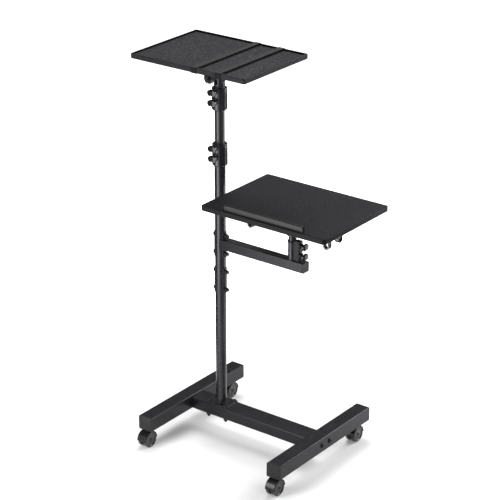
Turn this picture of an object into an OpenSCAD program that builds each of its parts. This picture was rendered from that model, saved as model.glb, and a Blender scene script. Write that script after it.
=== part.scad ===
// Rolling projector cart: an H-shaped base on four twin-wheel casters, a
// telescoping round pole with two clamp collars, a tilting top tray and a
// side arm that carries a tilting, swivelling laptop tray with a stop bar.
// X runs along the cross tube towards the laptop side, Y along the feet away
// from the user, and Z up from the floor. The pole's axis is pole_x from the
// origin, which lies under the middle of the whole cart.

/* [Base] */
// Length of each foot with its two end caps
foot_l = 450; // [380:5:560]
// Width of a foot tube
foot_w = 48; // [40:1:60]
// Height of a foot tube
foot_h = 44; // [40:1:60]
// Wall of the foot tubes and the cross tube
base_wall = 2; // [1.5:0.1:3]
// Outside corner radius of the base tubes
base_round = 4; // [3.2:0.2:6]
// Pole axis to the left foot's middle
left_reach = 111; // [100:1:150]
// Pole axis to the right foot's middle
right_reach = 359.5; // [340:0.5:420]
// Width of the cross tube
cross_w = 62; // [58:1:80]
// Height of the cross tube
cross_h = 36; // [30:1:39]
// Thickness of the cross tube's welded end plates
end_plate_t = 4; // [3:0.5:6]
// Thickness of a cap's visible flange
cap_t = 3; // [2:0.5:5]
// Depth of a cap's plug inside its tube
cap_plug_l = 12; // [8:1:20]
// Wall of a cap's hollow plug
cap_wall = 1.6; // [1.2:0.1:2.4]

/* [Casters] */
// Diameter of a caster wheel
wheel_d = 48; // [40:1:60]
// Width of one wheel of a pair
wheel_w = 10.5; // [8:0.5:13]
// Width of the swivel body between the wheels
hub_w = 12; // [11.6:0.1:14]
// Distance from the swivel axis to the wheel axis
trail = 18; // [14:0.5:20]
// Distance from a foot's end to the swivel axis
caster_inset = 26; // [24:1:60]
// Room between wheel and fender
fender_gap = 1; // [0.8:0.1:2]
// Thickness of the fender
fender_t = 2; // [1.5:0.1:3]
// Diameter of the threaded swivel stem
stem_d = 8; // [6:0.5:8.5]
// Depth of the stem in the swivel body
stem_depth = 18; // [14:1:20]
// Thickness of the flange between foot and swivel body
stem_flange_t = 3; // [2:0.5:5]
// Diameter of that flange
stem_flange_d = 20; // [17:1:26]
// Diameter of the wheel axle
axle_d = 5; // [4:0.5:7]

/* [Pole and mast] */
// Outside diameter of the lower pole
pole_d = 32; // [31:0.5:38]
// Wall of the lower pole
pole_wall = 1.5; // [1.2:0.1:1.6]
// Length of the lower pole
pole_l = 802; // [720:1:900]
// Outside diameter of the mast that slides in the pole
mast_d = 28.6; // [26:0.1:28.8]
// Wall of the mast
mast_wall = 1.5; // [1.2:0.1:2.5]
// Length of the mast
mast_l = 340; // [300:1:360]
// Mast showing between the two collars
mast_out = 100; // [96:1:140]
// Thickness of the flange under the pole
flange_t = 4; // [3:0.5:6]
// Flange size along the cross tube
flange_w = 80; // [76:1:96]
// Flange size across the cross tube
flange_d = 58; // [54:1:58]
// Size of the weld round the pole's foot
weld_s = 3; // [2:0.5:4]

/* [Clamp collars] */
// Upper screw's axis to the top of a collar
collar_top = 9; // [8.5:0.5:14]
// Outside diameter of a collar
collar_d = 44; // [42:1:54]
// Part of a collar that grips the wide tube
collar_grip = 46; // [44:1:50]
// Height of the lip at the top of a collar
collar_lip_h = 5; // [3:0.5:8]
// Depth and height of the groove under the lip
collar_groove = 1.5; // [1:0.1:2.5]
// Size of the bevel at a collar's lower end
collar_bevel = 3; // [2:0.5:4]
// Width of the moulded seam rib
rib_w = 9; // [6:0.5:12]
// How far the seam rib stands out of the collar
rib_out = 2.5; // [1.5:0.5:5]
// Distance from the rib to the collar's ends
rib_inset = 6; // [5:0.5:10]
// Height of the lower screw above a collar's lower end
screw_low = 27; // [26:0.5:30]
// Distance between the two screws of a clamp
screw_pitch = 30; // [29.4:0.1:31]
// How far the screw boss stands out of a collar
boss_out = 2; // [1:0.5:5]

/* [Wing screws] */
// Diameter of the screw shank
wing_screw_d = 6; // [5:0.5:7]
// Length of the wing grip
wing_l = 28.4; // [24:0.2:28.6]
// Height of the wing grip
wing_h = 17; // [14:0.5:18]
// Thickness of the grip at its middle
wing_t = 9; // [7:0.5:12]
// Thickness of the grip at its ends
wing_tip_t = 5.5; // [4:0.5:6.5]
// Diameter of the grip's hub
wing_hub_d = 14; // [12:0.5:16]
// Length of the hub between seat and wings
wing_hub_l = 7; // [5:0.5:12]

/* [Arm] */
// Side of the square arm tube
arm_s = 30; // [26:0.5:34]
// Wall of the arm tube
arm_wall = 1.5; // [1.2:0.1:2.5]
// Outside corner radius of the arm tube
arm_round = 3; // [2.8:0.1:4.5]
// Pole axis to the arm's free end
arm_reach = 304; // [298:1:360]
// Height of the arm's middle above the feet's underside
arm_z = 555.5; // [500:0.5:600]
// Arm's middle above the middle of its saddle
saddle_drop = 3; // [0:0.5:8]
// Distance between the two bolts of a saddle
saddle_pitch = 56; // [52:1:64]
// Height of a saddle
saddle_h = 80; // [72:1:84]
// Plate thickness of a saddle
saddle_t = 2.5; // [2:0.5:4]
// Width of a saddle's two plates, across the pole
saddle_w = 18; // [16:1:24]
// Height of the spare saddle below the arm's
spare_drop = 113; // [100:1:160]
// Arm's free end to the axis of its upright
upright_inset = 47; // [44:1:56]
// Outside diameter of the upright
upright_d = 26; // [25:0.5:28.6]
// Wall of the upright
upright_wall = 1.5; // [1.2:0.1:1.7]
// Upright's tube above the edge of its upper screw hole
upright_lip = 1.5; // [1:0.5:8]
// Width of the clamp block
block_w = 19; // [18:1:28]
// Depth of the clamp block from the upright outwards
block_d = 19; // [15:1:22]
// Block's height above its upper screw's boss
block_lip = 5; // [2:0.5:8]
// Height of the block's lower screw above the arm
block_screw = 16; // [14.5:0.5:16]
// Outside diameter of the post that turns in the upright
post_d = 22.6; // [20:0.1:22.8]
// Wall of the post
post_wall = 1.5; // [1.2:0.1:2.5]
// Height of the stop ring on the post
ring_h = 7.5; // [6:0.5:16]
// Outside diameter of the stop ring
ring_d = 28; // [27:0.5:32]

/* [Tilt heads] */
// Height from fork base to pivot
fork_h = 19; // [17:0.5:26]
// Diameter of the fork
fork_d = 32; // [30:0.5:36]
// Width across the flats at the fork's ears
fork_flat = 28; // [26:0.5:30]
// Thickness of the tray bracket's tongue
tongue_t = 8; // [6:0.5:12]
// Radius of the tongue's round end
tongue_r = 13; // [11:0.5:14]
// Depth of the fork's slot below the pivot
slot_depth = 14.5; // [14.2:0.1:16]
// Length of the fork's plug in its tube
fork_plug_l = 5; // [3:0.5:5]
// Diameter of the pivot bolt
pivot_d = 8; // [6:0.5:10]
// Height from the top pivot to the top tray's underside
head_tilt_h = 58; // [48:1:70]
// Height from the laptop pivot to the laptop tray's underside
tilt_h = 55; // [45:1:70]
// Collar top to the top fork's base
neck_h = 6; // [5:0.5:16]
// Stop ring top to the laptop fork's base
post_neck = 15; // [6:0.5:20]
// Diameter of the tilt knob
knob_d = 43; // [36:1:50]
// Thickness of the tilt knob
knob_t = 15; // [12:1:20]
// Diameter of the knob's neck
knob_neck_d = 18; // [16:1:24]
// Length of the knob's neck
knob_neck_l = 10; // [6:1:14]
// Number of finger hollows round the knob
knob_lobes = 6; // [5:1:8]
// Radius of a finger hollow
knob_hollow_r = 8; // [6:0.5:9]
// Bracket plate size along X
plate_w = 110; // [100:1:130]
// Bracket plate size along Y
plate_d = 80; // [70:1:100]
// Thickness of the bracket plate
plate_t = 3; // [2:0.5:4]
// Corner radius of the bracket plate
plate_round = 8; // [4:1:12]
// Width of the tongue where it meets the plate
tongue_root = 52; // [40:1:66]

/* [Top tray] */
// Tray size along X
top_w = 400; // [340:2:480]
// Tray size along Y
top_d = 295; // [251:2:361]
// Thickness of the tray
top_t = 15; // [14.5:0.5:18]
// Plan radius of the tray's corners
top_corner = 6; // [6:1:30]
// Rounding of the tray's edges
top_edge = 2.5; // [2:0.5:3]
// Width of the raised rim round the tray
rim_w = 5.5; // [5:0.5:12]
// Depth of the tray's face below its rim
rim_depth = 4.5; // [1:0.5:4.5]

/* [Laptop tray] */
// Tray size along X
lap_w = 422; // [370:2:460]
// Tray size along Y
lap_d = 314; // [260:2:360]
// Thickness of the tray
lap_t = 16.5; // [15:0.5:22]
// Plan radius of the tray's corners
lap_corner = 9; // [8:1:30]
// Rounding of the tray's edges
lap_edge = 3; // [2:0.5:6]
// Gap between the pole and the tray's near edge
lap_gap = 36; // [30:1:60]
// Length of the stop bar with its end caps
bar_l = 266; // [200:2:320]
// Thickness of the stop bar
bar_t = 10; // [8:0.5:14]
// Height of the stop bar
bar_h = 17; // [12:0.5:24]
// Width of the stop bar's end caps
bar_cap_l = 5; // [3:0.5:8]
// How far the end caps stand out round the bar
bar_cap_out = 0.8; // [0.4:0.1:1.5]
// Set-back of the stop bar from the tray's front edge
bar_inset = 8; // [4:0.5:12]
// Depth of the rebate under the bar in the tray's front edge
bar_rebate = 1; // [0.6:0.1:2]

/* [Straps] */
// Width of an elastic strap
strap_w = 20; // [15:1:24]
// Thickness of a strap
strap_t = 1.2; // [0.8:0.1:2]
// First strap's place along X
strap_a_x = 26; // [24:1:29]
// Second strap's place along X
strap_b_x = 109; // [95:1:130]

/* [Hooks] */
// Width of a hook's band
hook_w = 13; // [8:0.5:14]
// Thickness of a hook's band
hook_t = 4; // [2:0.5:4]
// Inside radius of a hook's bend
hook_r = 6; // [5:0.5:8]
// Drop from the tray to the middle of the bend
hook_drop = 17; // [15:0.5:24]
// Height of a hook's tip above the bend's middle
hook_tip = 3; // [1:0.5:5]

/* [Hidden] */
$fn = 64;

// Fits and small clearances
fit_gap = 0.05;
slide_gap = 0.1;
part_gap = 0.3;
overrun = 1;

// Metric fasteners of the frame, in the base and through the saddles
m8_d = 8;
nut_share = 1.85;
nut_h_share = 0.8;
head_d_share = 1.9;
head_h_share = 0.6;
socket_share = 0.72;
socket_lip = 0.3;
tip_share = 0.6;
wood_screw_d = 4;
wood_screw_l = 12;
wood_head_d = 8;
wood_head_h = 2;

// Heights, from the floor up
fender_r = wheel_d / 2 + fender_gap + fender_t;
foot_z = wheel_d / 2 + fender_r + stem_flange_t;
cross_top_z = foot_z + cross_h;
pole_z = cross_top_z + flange_t;
pole_top_z = pole_z + pole_l;
collar_h = screw_low + screw_pitch + collar_top;
low_collar_z = pole_top_z - collar_grip;
up_collar_z = low_collar_z + collar_h + mast_out;
bush_h = collar_h - collar_grip;
mast_top_z = up_collar_z + collar_h;
head_base_z = up_collar_z + collar_h + neck_h;
head_pivot_z = head_base_z + fork_h;
top_tray_z = head_pivot_z + head_tilt_h;
arm_mid_z = foot_z + arm_z;
arm_top_z = arm_mid_z + arm_s / 2;
saddle_z = arm_mid_z - saddle_drop;
upright_l = block_screw + screw_pitch + wing_screw_d / 2 + upright_lip;
upright_top_z = arm_top_z + upright_l;
ring_top_z = upright_top_z + part_gap + ring_h;
lap_base_z = ring_top_z + post_neck;
lap_pivot_z = lap_base_z + fork_h;
lap_tray_z = lap_pivot_z + tilt_h;

// Places along X, from the pole's axis
upright_x = arm_reach - upright_inset;
lap_mid_x = pole_d / 2 + lap_gap + lap_w / 2;
cart_right = lap_mid_x + lap_w / 2;
cart_left = max(top_w / 2, left_reach + foot_w / 2);
pole_x = -(cart_right - cart_left) / 2;
left_inner_x = -left_reach + foot_w / 2;
right_inner_x = right_reach - foot_w / 2;
caster_y = foot_l / 2 - caster_inset;
cart_front = max(foot_l / 2, caster_y + trail + fender_r);
pole_y = (cart_front - foot_l / 2) / 2;

// Seats of the clamps
collar_seat = collar_d / 2 + boss_out;
block_seat = upright_d / 2 + block_d;
block_h = block_screw + screw_pitch + wing_hub_d / 2 + boss_out + block_lip;
bolt_mid_z = foot_z + foot_h / 2;
base_bolt_y = cross_w / 2 - base_wall - m8_d * 1.25;
flange_bolt_x = flange_w / 2 - m8_d;
flange_bolt_y = flange_d / 2 - m8_d;
caster_w = hub_w + 2 * (wheel_w + part_gap);

// The tilt joint's washer, and the stop bar's and hooks' places from the tray's middle
washer_t = 1.5;
bar_y = -lap_d / 2 + bar_inset + bar_t / 2;
bar_screw_x = bar_l / 2 * 0.8;
hook_place_shares = [[-0.30, -0.74, 0], [0.92, -0.76, 0], [0.90, -0.38, 90]];
hook_screw_x = -hook_r - hook_t - wood_head_d;
hook_flange_l = hook_r + hook_t - hook_screw_x + wood_head_d * 0.75;

// Everything is drawn round the pole's axis and then set round the origin
module from_pole() {
  translate([pole_x, pole_y, 0]) children();
}

// A rectangle with round corners, about the origin
module round_rect(w, h, r) {
  union() {
    square([w - 2 * r, h], center = true);
    square([w, h - 2 * r], center = true);
    for (sx = [-1, 1], sy = [-1, 1])
      translate([sx * (w / 2 - r), sy * (h / 2 - r)]) circle(r = r);
  }
}

// The ring-shaped section of a rectangular tube
module tube_section(w, h, t, r) {
  difference() {
    round_rect(w, h, r);
    round_rect(w - 2 * t, h - 2 * t, r - t);
  }
}

// A straight hole or pin along an axis, given by its turn
module rod(r, h, turn) {
  rotate(turn) cylinder(r = r, h = h, center = true);
}

// A hexagon nut or head with a round washer face, axis Z, seat at z = 0
module hex_nut(d) {
  intersection() {
    cylinder(d = d * nut_share, h = d * nut_h_share, $fn = 6);
    rotate_extrude() polygon([
      [0, 0], [d * nut_share / 2, 0],
      [d * nut_share / 2, d * nut_h_share * 0.8],
      [d * nut_share * 0.42, d * nut_h_share], [0, d * nut_h_share]]);
  }
}

// A low round bolt head with a hexagon socket, axis Z, seat at z = 0
module dome_head(d) {
  difference() {
    rotate_extrude() polygon([
      [0, 0], [d * head_d_share / 2, 0],
      [d * head_d_share / 2, d * head_h_share * 0.35],
      [d * head_d_share * 0.42, d * head_h_share * 0.75],
      [d * head_d_share * 0.25 + socket_lip, d * head_h_share], [0, d * head_h_share]]);
    translate([0, 0, d * head_h_share * 0.4])
      cylinder(d = d * socket_share, h = d * head_h_share, $fn = 6);
  }
}

// A through bolt along +Z from its head's seat at z = 0 to a nut's seat
module through_bolt(d, grip) {
  mirror([0, 0, 1]) dome_head(d);
  cylinder(d = d, h = grip + d * (nut_h_share + tip_share));
  translate([0, 0, grip]) hex_nut(d);
}

// A cap for a rectangular tube's end, flange outwards along +Z
module tube_cap(w, h, t, r) {
  linear_extrude(cap_t) round_rect(w, h, r);
  translate([0, 0, -cap_plug_l])
    linear_extrude(cap_plug_l) difference() {
      round_rect(w - 2 * (t + fit_gap), h - 2 * (t + fit_gap), r - t);
      square([w - 2 * (t + cap_wall), h - 2 * (t + cap_wall)], center = true);
    }
}

// One foot: a rectangular tube along Y, bored for its casters and bolts
module foot(x) {
  translate([x, 0, foot_z + foot_h / 2]) difference() {
    rotate([90, 0, 0])
      linear_extrude(foot_l - 2 * cap_t, center = true)
        tube_section(foot_w, foot_h, base_wall, base_round);
    for (sy = [-1, 1]) {
      translate([0, sy * caster_y, -foot_h / 2])
        rod(stem_d / 2 + fit_gap, 3 * base_wall, [0, 0, 0]);
      translate([0, sy * base_bolt_y, 0])
        rod(m8_d / 2 + fit_gap, foot_w + 2 * overrun, [0, 90, 0]);
    }
  }
}

module foot_left() {
  color("#3a3a3e") from_pole() foot(-left_reach);
}

module foot_right() {
  color("#3a3a3e") from_pole() foot(right_reach);
}

module end_caps() {
  color("#232326") from_pole() {
    for (x = [-left_reach, right_reach], sy = [-1, 1])
      translate([x, sy * (foot_l / 2 - cap_t), foot_z + foot_h / 2])
        rotate([-sy * 90, 0, 0])
          tube_cap(foot_w, foot_h, base_wall, base_round);
    translate([arm_reach - cap_t, 0, arm_mid_z]) rotate([0, 90, 0])
      tube_cap(arm_s, arm_s, arm_wall, arm_round);
  }
}

// The cross tube with an end plate welded into each end
module cross_tube() {
  span = right_inner_x - left_inner_x;
  color("#3a3a3e") from_pole()
    translate([(left_inner_x + right_inner_x) / 2, 0, foot_z + cross_h / 2])
      difference() {
        union() {
          rotate([90, 0, 90]) linear_extrude(span, center = true)
            tube_section(cross_w, cross_h, base_wall, base_round);
          for (sx = [-1, 1])
            translate([sx * (span - end_plate_t) / 2, 0, 0])
              rotate([90, 0, 90]) linear_extrude(end_plate_t, center = true)
                round_rect(cross_w - base_wall, cross_h - base_wall, base_round);
        }
        for (sy = [-1, 1])
          translate([0, sy * base_bolt_y, foot_h / 2 - cross_h / 2])
            rod(m8_d / 2 + fit_gap, span + 2 * overrun, [0, 90, 0]);
        translate([-(left_inner_x + right_inner_x) / 2, 0, 0])
          for (sx = [-1, 1], sy = [-1, 1])
            translate([sx * flange_bolt_x, sy * flange_bolt_y, 0])
              rod(m8_d / 2 + fit_gap, cross_h + 2 * overrun, [0, 0, 0]);
      }
}

// Four bolts that run through the feet into nuts behind the end plates
module base_bolts() {
  grip = foot_w + end_plate_t;
  color("#1d1d20") from_pole() for (sy = [-1, 1]) {
    translate([-left_reach - foot_w / 2, sy * base_bolt_y, bolt_mid_z])
      rotate([0, 90, 0]) through_bolt(m8_d, grip);
    translate([right_reach + foot_w / 2, sy * base_bolt_y, bolt_mid_z])
      rotate([0, -90, 0]) through_bolt(m8_d, grip);
  }
}

// The square flange under the pole, with the weld round the pole's foot
module pole_flange() {
  color("#3a3a3e") from_pole() difference() {
    union() {
      translate([0, 0, cross_top_z]) linear_extrude(flange_t)
        round_rect(flange_w, flange_d, weld_s);
      translate([0, 0, pole_z]) rotate_extrude() polygon([
        [pole_d / 2 + fit_gap, 0], [pole_d / 2 + weld_s, 0],
        [pole_d / 2 + weld_s * 0.4, weld_s * 0.4], [pole_d / 2 + fit_gap, weld_s]]);
    }
    for (sx = [-1, 1], sy = [-1, 1])
      translate([sx * flange_bolt_x, sy * flange_bolt_y, cross_top_z])
        rod(m8_d / 2 + fit_gap, 4 * flange_t, [0, 0, 0]);
  }
}

module flange_bolts() {
  color("#1d1d20") from_pole() for (sx = [-1, 1], sy = [-1, 1])
    translate([sx * flange_bolt_x, sy * flange_bolt_y, pole_z])
      rotate([180, 0, 0]) through_bolt(m8_d, flange_t + cross_h);
}

// The lower pole, bored for the saddle bolts and the collar's lower screw
module lower_pole() {
  color("#3a3a3e") from_pole() difference() {
    translate([0, 0, pole_z]) difference() {
      cylinder(d = pole_d, h = pole_l);
      translate([0, 0, -overrun])
        cylinder(r = pole_d / 2 - pole_wall, h = pole_l + 2 * overrun);
    }
    for (drop = [0, spare_drop], sz = [-1, 1])
      translate([0, 0, saddle_z - drop + sz * saddle_pitch / 2])
        rod(m8_d / 2 + fit_gap, pole_d + 2 * overrun, [0, 90, 0]);
    translate([0, -pole_d / 2, low_collar_z + screw_low])
      rod(wing_screw_d / 2 + fit_gap, 4 * pole_wall, [90, 0, 0]);
  }
}

// A clamp collar from its lower end up: bevel, body, groove and lip, with a
// seam rib on the +X side and two screw bosses on the -Y side
module clamp_collar() {
  r = collar_d / 2;
  bore = pole_d / 2 + fit_gap;
  groove_z = collar_h - collar_lip_h - collar_groove;
  difference() {
    union() {
      rotate_extrude() polygon([
        [bore, 0], [r - collar_bevel, 0], [r, collar_bevel], [r, groove_z - collar_groove],
        [r - collar_groove, groove_z], [r - collar_groove, groove_z + collar_groove],
        [r, groove_z + collar_groove], [r, collar_h - collar_groove],
        [r - collar_groove, collar_h], [bore, collar_h]]);
      translate([(bore + r + rib_out) / 2, 0, groove_z / 2])
        difference() {
          cube([r + rib_out - bore, rib_w, groove_z - 2 * rib_inset], center = true);
          translate([(r + rib_out - bore) / 2, 0, 0])
            rod(collar_groove, collar_h, [0, 0, 0]);
        }
      for (z = [screw_low, screw_low + screw_pitch])
        translate([0, -(bore + collar_seat) / 2, z])
          rod(wing_hub_d / 2 + collar_groove, collar_seat - bore, [90, 0, 0]);
    }
    translate([0, 0, -overrun]) cylinder(r = bore, h = collar_h + 2 * overrun);
    for (z = [screw_low, screw_low + screw_pitch])
      translate([0, -collar_seat, z])
        rod(wing_screw_d / 2 + fit_gap, collar_d, [90, 0, 0]);
  }
}

// A flanged bush that fills a collar where the wide tube ends, screw holes in it
module collar_bush(screws) {
  difference() {
    cylinder(r = pole_d / 2, h = bush_h - part_gap);
    translate([0, 0, -overrun])
      cylinder(r = mast_d / 2 + slide_gap, h = bush_h + 2 * overrun);
    for (z = screws)
      translate([0, -pole_d / 2, z])
        rod(wing_screw_d / 2 + fit_gap, pole_d / 2, [90, 0, 0]);
  }
}

// A wing screw along -Z: the tip is tip_depth under the seat, the grip above
module wing_screw(tip_depth) {
  reach = wing_l / 2 - wing_h / 2;
  top = wing_hub_l + wing_t;
  translate([0, 0, -tip_depth]) cylinder(d = wing_screw_d, h = tip_depth + wing_hub_l);
  rotate_extrude() polygon([
    [0, 0], [wing_hub_d / 2, 0], [wing_hub_d / 2, wing_hub_l * 0.3],
    [wing_hub_d * 0.4, wing_hub_l * 0.6], [wing_hub_d * 0.4, top], [0, top]]);
  translate([0, 0, wing_hub_l]) intersection() {
    linear_extrude(wing_t) union() {
      for (s = [-1, 1]) translate([s * reach, 0]) circle(d = wing_h);
      square([2 * reach, wing_h * 0.78], center = true);
    }
    rotate([90, 0, 0]) linear_extrude(wing_h, center = true) polygon([
      [-wing_l / 2, (wing_t - wing_tip_t) / 2], [0, 0],
      [wing_l / 2, (wing_t - wing_tip_t) / 2], [wing_l / 2, (wing_t + wing_tip_t) / 2],
      [wing_hub_d * 0.4, wing_t], [-wing_hub_d * 0.4, wing_t],
      [-wing_l / 2, (wing_t + wing_tip_t) / 2]]);
  }
}

// A wing screw in a collar's front, at a height above the collar's lower end
module collar_wing_screw(z) {
  translate([0, -collar_seat, z]) rotate([90, 0, 0])
    wing_screw(collar_seat - mast_d / 2 - part_gap);
}

module lower_collar() {
  color("#2a2a2d") from_pole() translate([0, 0, low_collar_z]) clamp_collar();
}

module lower_collar_bush() {
  color("#1b1b1d") from_pole() translate([0, 0, pole_top_z + part_gap])
    collar_bush([screw_low + screw_pitch - collar_grip - part_gap]);
}

module lower_wing_screw_1() {
  color("#1d1d20") from_pole() collar_wing_screw(low_collar_z + screw_low);
}

module lower_wing_screw_2() {
  color("#1d1d20") from_pole() collar_wing_screw(low_collar_z + screw_low + screw_pitch);
}

// One plate of a saddle, curved to the pole on its +X side, middle at z = 0
module saddle_half() {
  r = pole_d / 2 + fit_gap;
  difference() {
    intersection() {
      cylinder(r = r + saddle_t, h = saddle_h, center = true);
      translate([0, -saddle_w / 2, -saddle_h]) cube([pole_d, saddle_w, 2 * saddle_h]);
    }
    cylinder(r = r, h = saddle_h + 2 * overrun, center = true);
    for (sz = [-1, 1]) translate([pole_d / 2, 0, sz * saddle_pitch / 2])
      rod(m8_d / 2 + fit_gap, pole_d, [0, 90, 0]);
  }
}

// Two saddles of two plates each: the arm's, and a spare one below it
module saddle_plates() {
  color("#3a3a3e") from_pole() for (drop = [0, spare_drop])
    translate([0, 0, saddle_z - drop]) {
      saddle_half();
      mirror([1, 0, 0]) saddle_half();
    }
}

// Four bolts through the pole, heads on the -X side, flats filed to the plates
module saddle_bolts() {
  seat = pole_d / 2 + fit_gap + saddle_t;
  color("#1d1d20") from_pole()
    for (drop = [0, spare_drop], sz = [-1, 1])
      translate([-seat, 0, saddle_z - drop + sz * saddle_pitch / 2])
        rotate([0, 90, 0]) through_bolt(m8_d, 2 * seat);
}

// The square arm, coped round the pole and over its saddle plate
module arm_tube() {
  start = pole_d / 8;
  r = pole_d / 2 + 2 * fit_gap;
  color("#3a3a3e") from_pole() translate([0, 0, arm_mid_z]) difference() {
    translate([(start + arm_reach - cap_t) / 2, 0, 0]) rotate([90, 0, 90])
      linear_extrude(arm_reach - cap_t - start, center = true)
        tube_section(arm_s, arm_s, arm_wall, arm_round);
    cylinder(r = r, h = arm_s + 2 * overrun, center = true);
    intersection() {
      cylinder(r = r + saddle_t, h = arm_s + 2 * overrun, center = true);
      translate([0, -saddle_w / 2 - fit_gap, -arm_s])
        cube([pole_d, saddle_w + 2 * fit_gap, 2 * arm_s]);
    }
  }
}

// The short round tube welded on the arm, bored for the two clamp screws
module arm_upright() {
  color("#3a3a3e") from_pole() translate([upright_x, 0, arm_top_z]) difference() {
    cylinder(d = upright_d, h = upright_l);
    translate([0, 0, -overrun])
      cylinder(r = upright_d / 2 - upright_wall, h = upright_l + 2 * overrun);
    for (z = [block_screw, block_screw + screw_pitch])
      translate([upright_d / 2, 0, z])
        rod(wing_screw_d / 2 + fit_gap, upright_d / 2, [0, 90, 0]);
  }
}

// The clamp block beside the upright: hollowed to its round, bosses outwards
module clamp_block() {
  body = block_d - boss_out;
  color("#2a2a2d") from_pole() translate([upright_x, 0, arm_top_z]) difference() {
    union() {
      linear_extrude(block_h) union() {
        translate([0, -block_w / 2])
          square([upright_d / 2 + body - arm_round, block_w]);
        translate([0, -block_w / 2 + arm_round])
          square([upright_d / 2 + body, block_w - 2 * arm_round]);
        for (sy = [-1, 1])
          translate([upright_d / 2 + body - arm_round, sy * (block_w / 2 - arm_round)])
            circle(r = arm_round);
      }
      for (z = [block_screw, block_screw + screw_pitch])
        translate([block_seat - body / 2, 0, z])
          rod(wing_hub_d / 2 + boss_out, body, [0, 90, 0]);
    }
    translate([0, 0, -overrun])
      cylinder(r = upright_d / 2 + fit_gap, h = block_h + 2 * overrun);
    translate([0, 0, upright_l - part_gap])
      cylinder(r = ring_d / 2 + part_gap, h = block_h);
    translate([-upright_d * 0.7, -block_w, -overrun])
      cube([upright_d, 2 * block_w, block_h + 2 * overrun]);
    for (z = [block_screw, block_screw + screw_pitch])
      translate([block_seat, 0, z])
        rod(wing_screw_d / 2 + fit_gap, 3 * block_d, [0, 90, 0]);
  }
}

// A wing screw in the clamp block, its grip along Y
module block_wing_screw(z) {
  translate([upright_x + block_seat, 0, arm_top_z + z]) rotate([90, 0, 90])
    wing_screw(block_seat - post_d / 2 - part_gap);
}

module arm_wing_screw_1() {
  color("#1d1d20") from_pole() block_wing_screw(block_screw);
}

module arm_wing_screw_2() {
  color("#1d1d20") from_pole() block_wing_screw(block_screw + screw_pitch);
}

module mast_tube() {
  color("#3a3a3e") from_pole() translate([0, 0, mast_top_z - mast_l]) difference() {
    cylinder(d = mast_d, h = mast_l);
    translate([0, 0, -overrun])
      cylinder(r = mast_d / 2 - mast_wall, h = mast_l + 2 * overrun);
  }
}

// The plastic guide plugged into the mast's lower end
module mast_guide() {
  plug_r = mast_d / 2 - mast_wall - fit_gap;
  color("#1b1b1d") from_pole() translate([0, 0, mast_top_z - mast_l])
    difference() {
      union() {
        translate([0, 0, -cap_t]) cylinder(r = mast_d / 2, h = cap_t);
        cylinder(r = plug_r, h = cap_plug_l);
      }
      translate([0, 0, -cap_t - overrun])
        cylinder(r = plug_r - cap_wall, h = cap_plug_l + cap_t + 2 * overrun);
    }
}

module upper_collar() {
  color("#2a2a2d") from_pole() translate([0, 0, up_collar_z]) clamp_collar();
}

module upper_collar_bush() {
  color("#1b1b1d") from_pole() translate([0, 0, up_collar_z]) collar_bush([]);
}

module upper_wing_screw_1() {
  color("#1d1d20") from_pole() collar_wing_screw(up_collar_z + screw_low);
}

module upper_wing_screw_2() {
  color("#1d1d20") from_pole() collar_wing_screw(up_collar_z + screw_low + screw_pitch);
}

// The wide sleeve over the mast's top, which carries the tilt head
module head_sleeve() {
  color("#3a3a3e") from_pole() difference() {
    translate([0, 0, up_collar_z + bush_h])
      cylinder(d = pole_d, h = head_base_z - up_collar_z - bush_h);
    translate([0, 0, up_collar_z])
      cylinder(r = mast_d / 2 + slide_gap, h = head_base_z);
    for (z = [screw_low, screw_low + screw_pitch])
      translate([0, -pole_d / 2, up_collar_z + z])
        rod(wing_screw_d / 2 + fit_gap, pole_d / 2, [90, 0, 0]);
  }
}

// A tilt fork: base at z = 0, pivot along X at fork_h, slot across the pivot
module tilt_fork(plug_r) {
  slot_w = tongue_t + 2 * slide_gap;
  difference() {
    union() {
      translate([0, 0, -fork_plug_l]) cylinder(r = plug_r, h = fork_plug_l);
      cylinder(d = fork_d, h = fork_h);
      translate([0, 0, fork_h]) intersection() {
        rod(fork_d / 2, fork_d, [0, 90, 0]);
        cylinder(d = fork_d, h = fork_d);
      }
    }
    translate([-slot_w / 2, -fork_d, fork_h - slot_depth])
      cube([slot_w, 2 * fork_d, 2 * fork_d]);
    for (turn = [0, 180]) rotate([0, 0, turn])
      translate([fork_flat / 2, -fork_d, fork_h - knob_neck_d / 2])
        cube([fork_d, 2 * fork_d, 2 * fork_d]);
    translate([0, 0, fork_h]) rod(pivot_d / 2 + fit_gap, fork_d + 2 * overrun, [0, 90, 0]);
  }
}

// The pivot bolt with its washer: round head on +X, thread into the knob on -X
module pivot_bolt() {
  mirror([1, 0, 0]) rotate([0, 90, 0]) {
    translate([0, 0, -fork_flat / 2]) mirror([0, 0, 1]) dome_head(pivot_d);
    translate([0, 0, -fork_flat / 2])
      cylinder(d = pivot_d, h = fork_flat + washer_t + knob_neck_l + knob_t / 2);
    translate([0, 0, fork_flat / 2]) difference() {
      cylinder(d = knob_neck_d, h = washer_t);
      translate([0, 0, -overrun])
        cylinder(r = pivot_d / 2 + fit_gap, h = washer_t + 2 * overrun);
    }
  }
}

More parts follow.
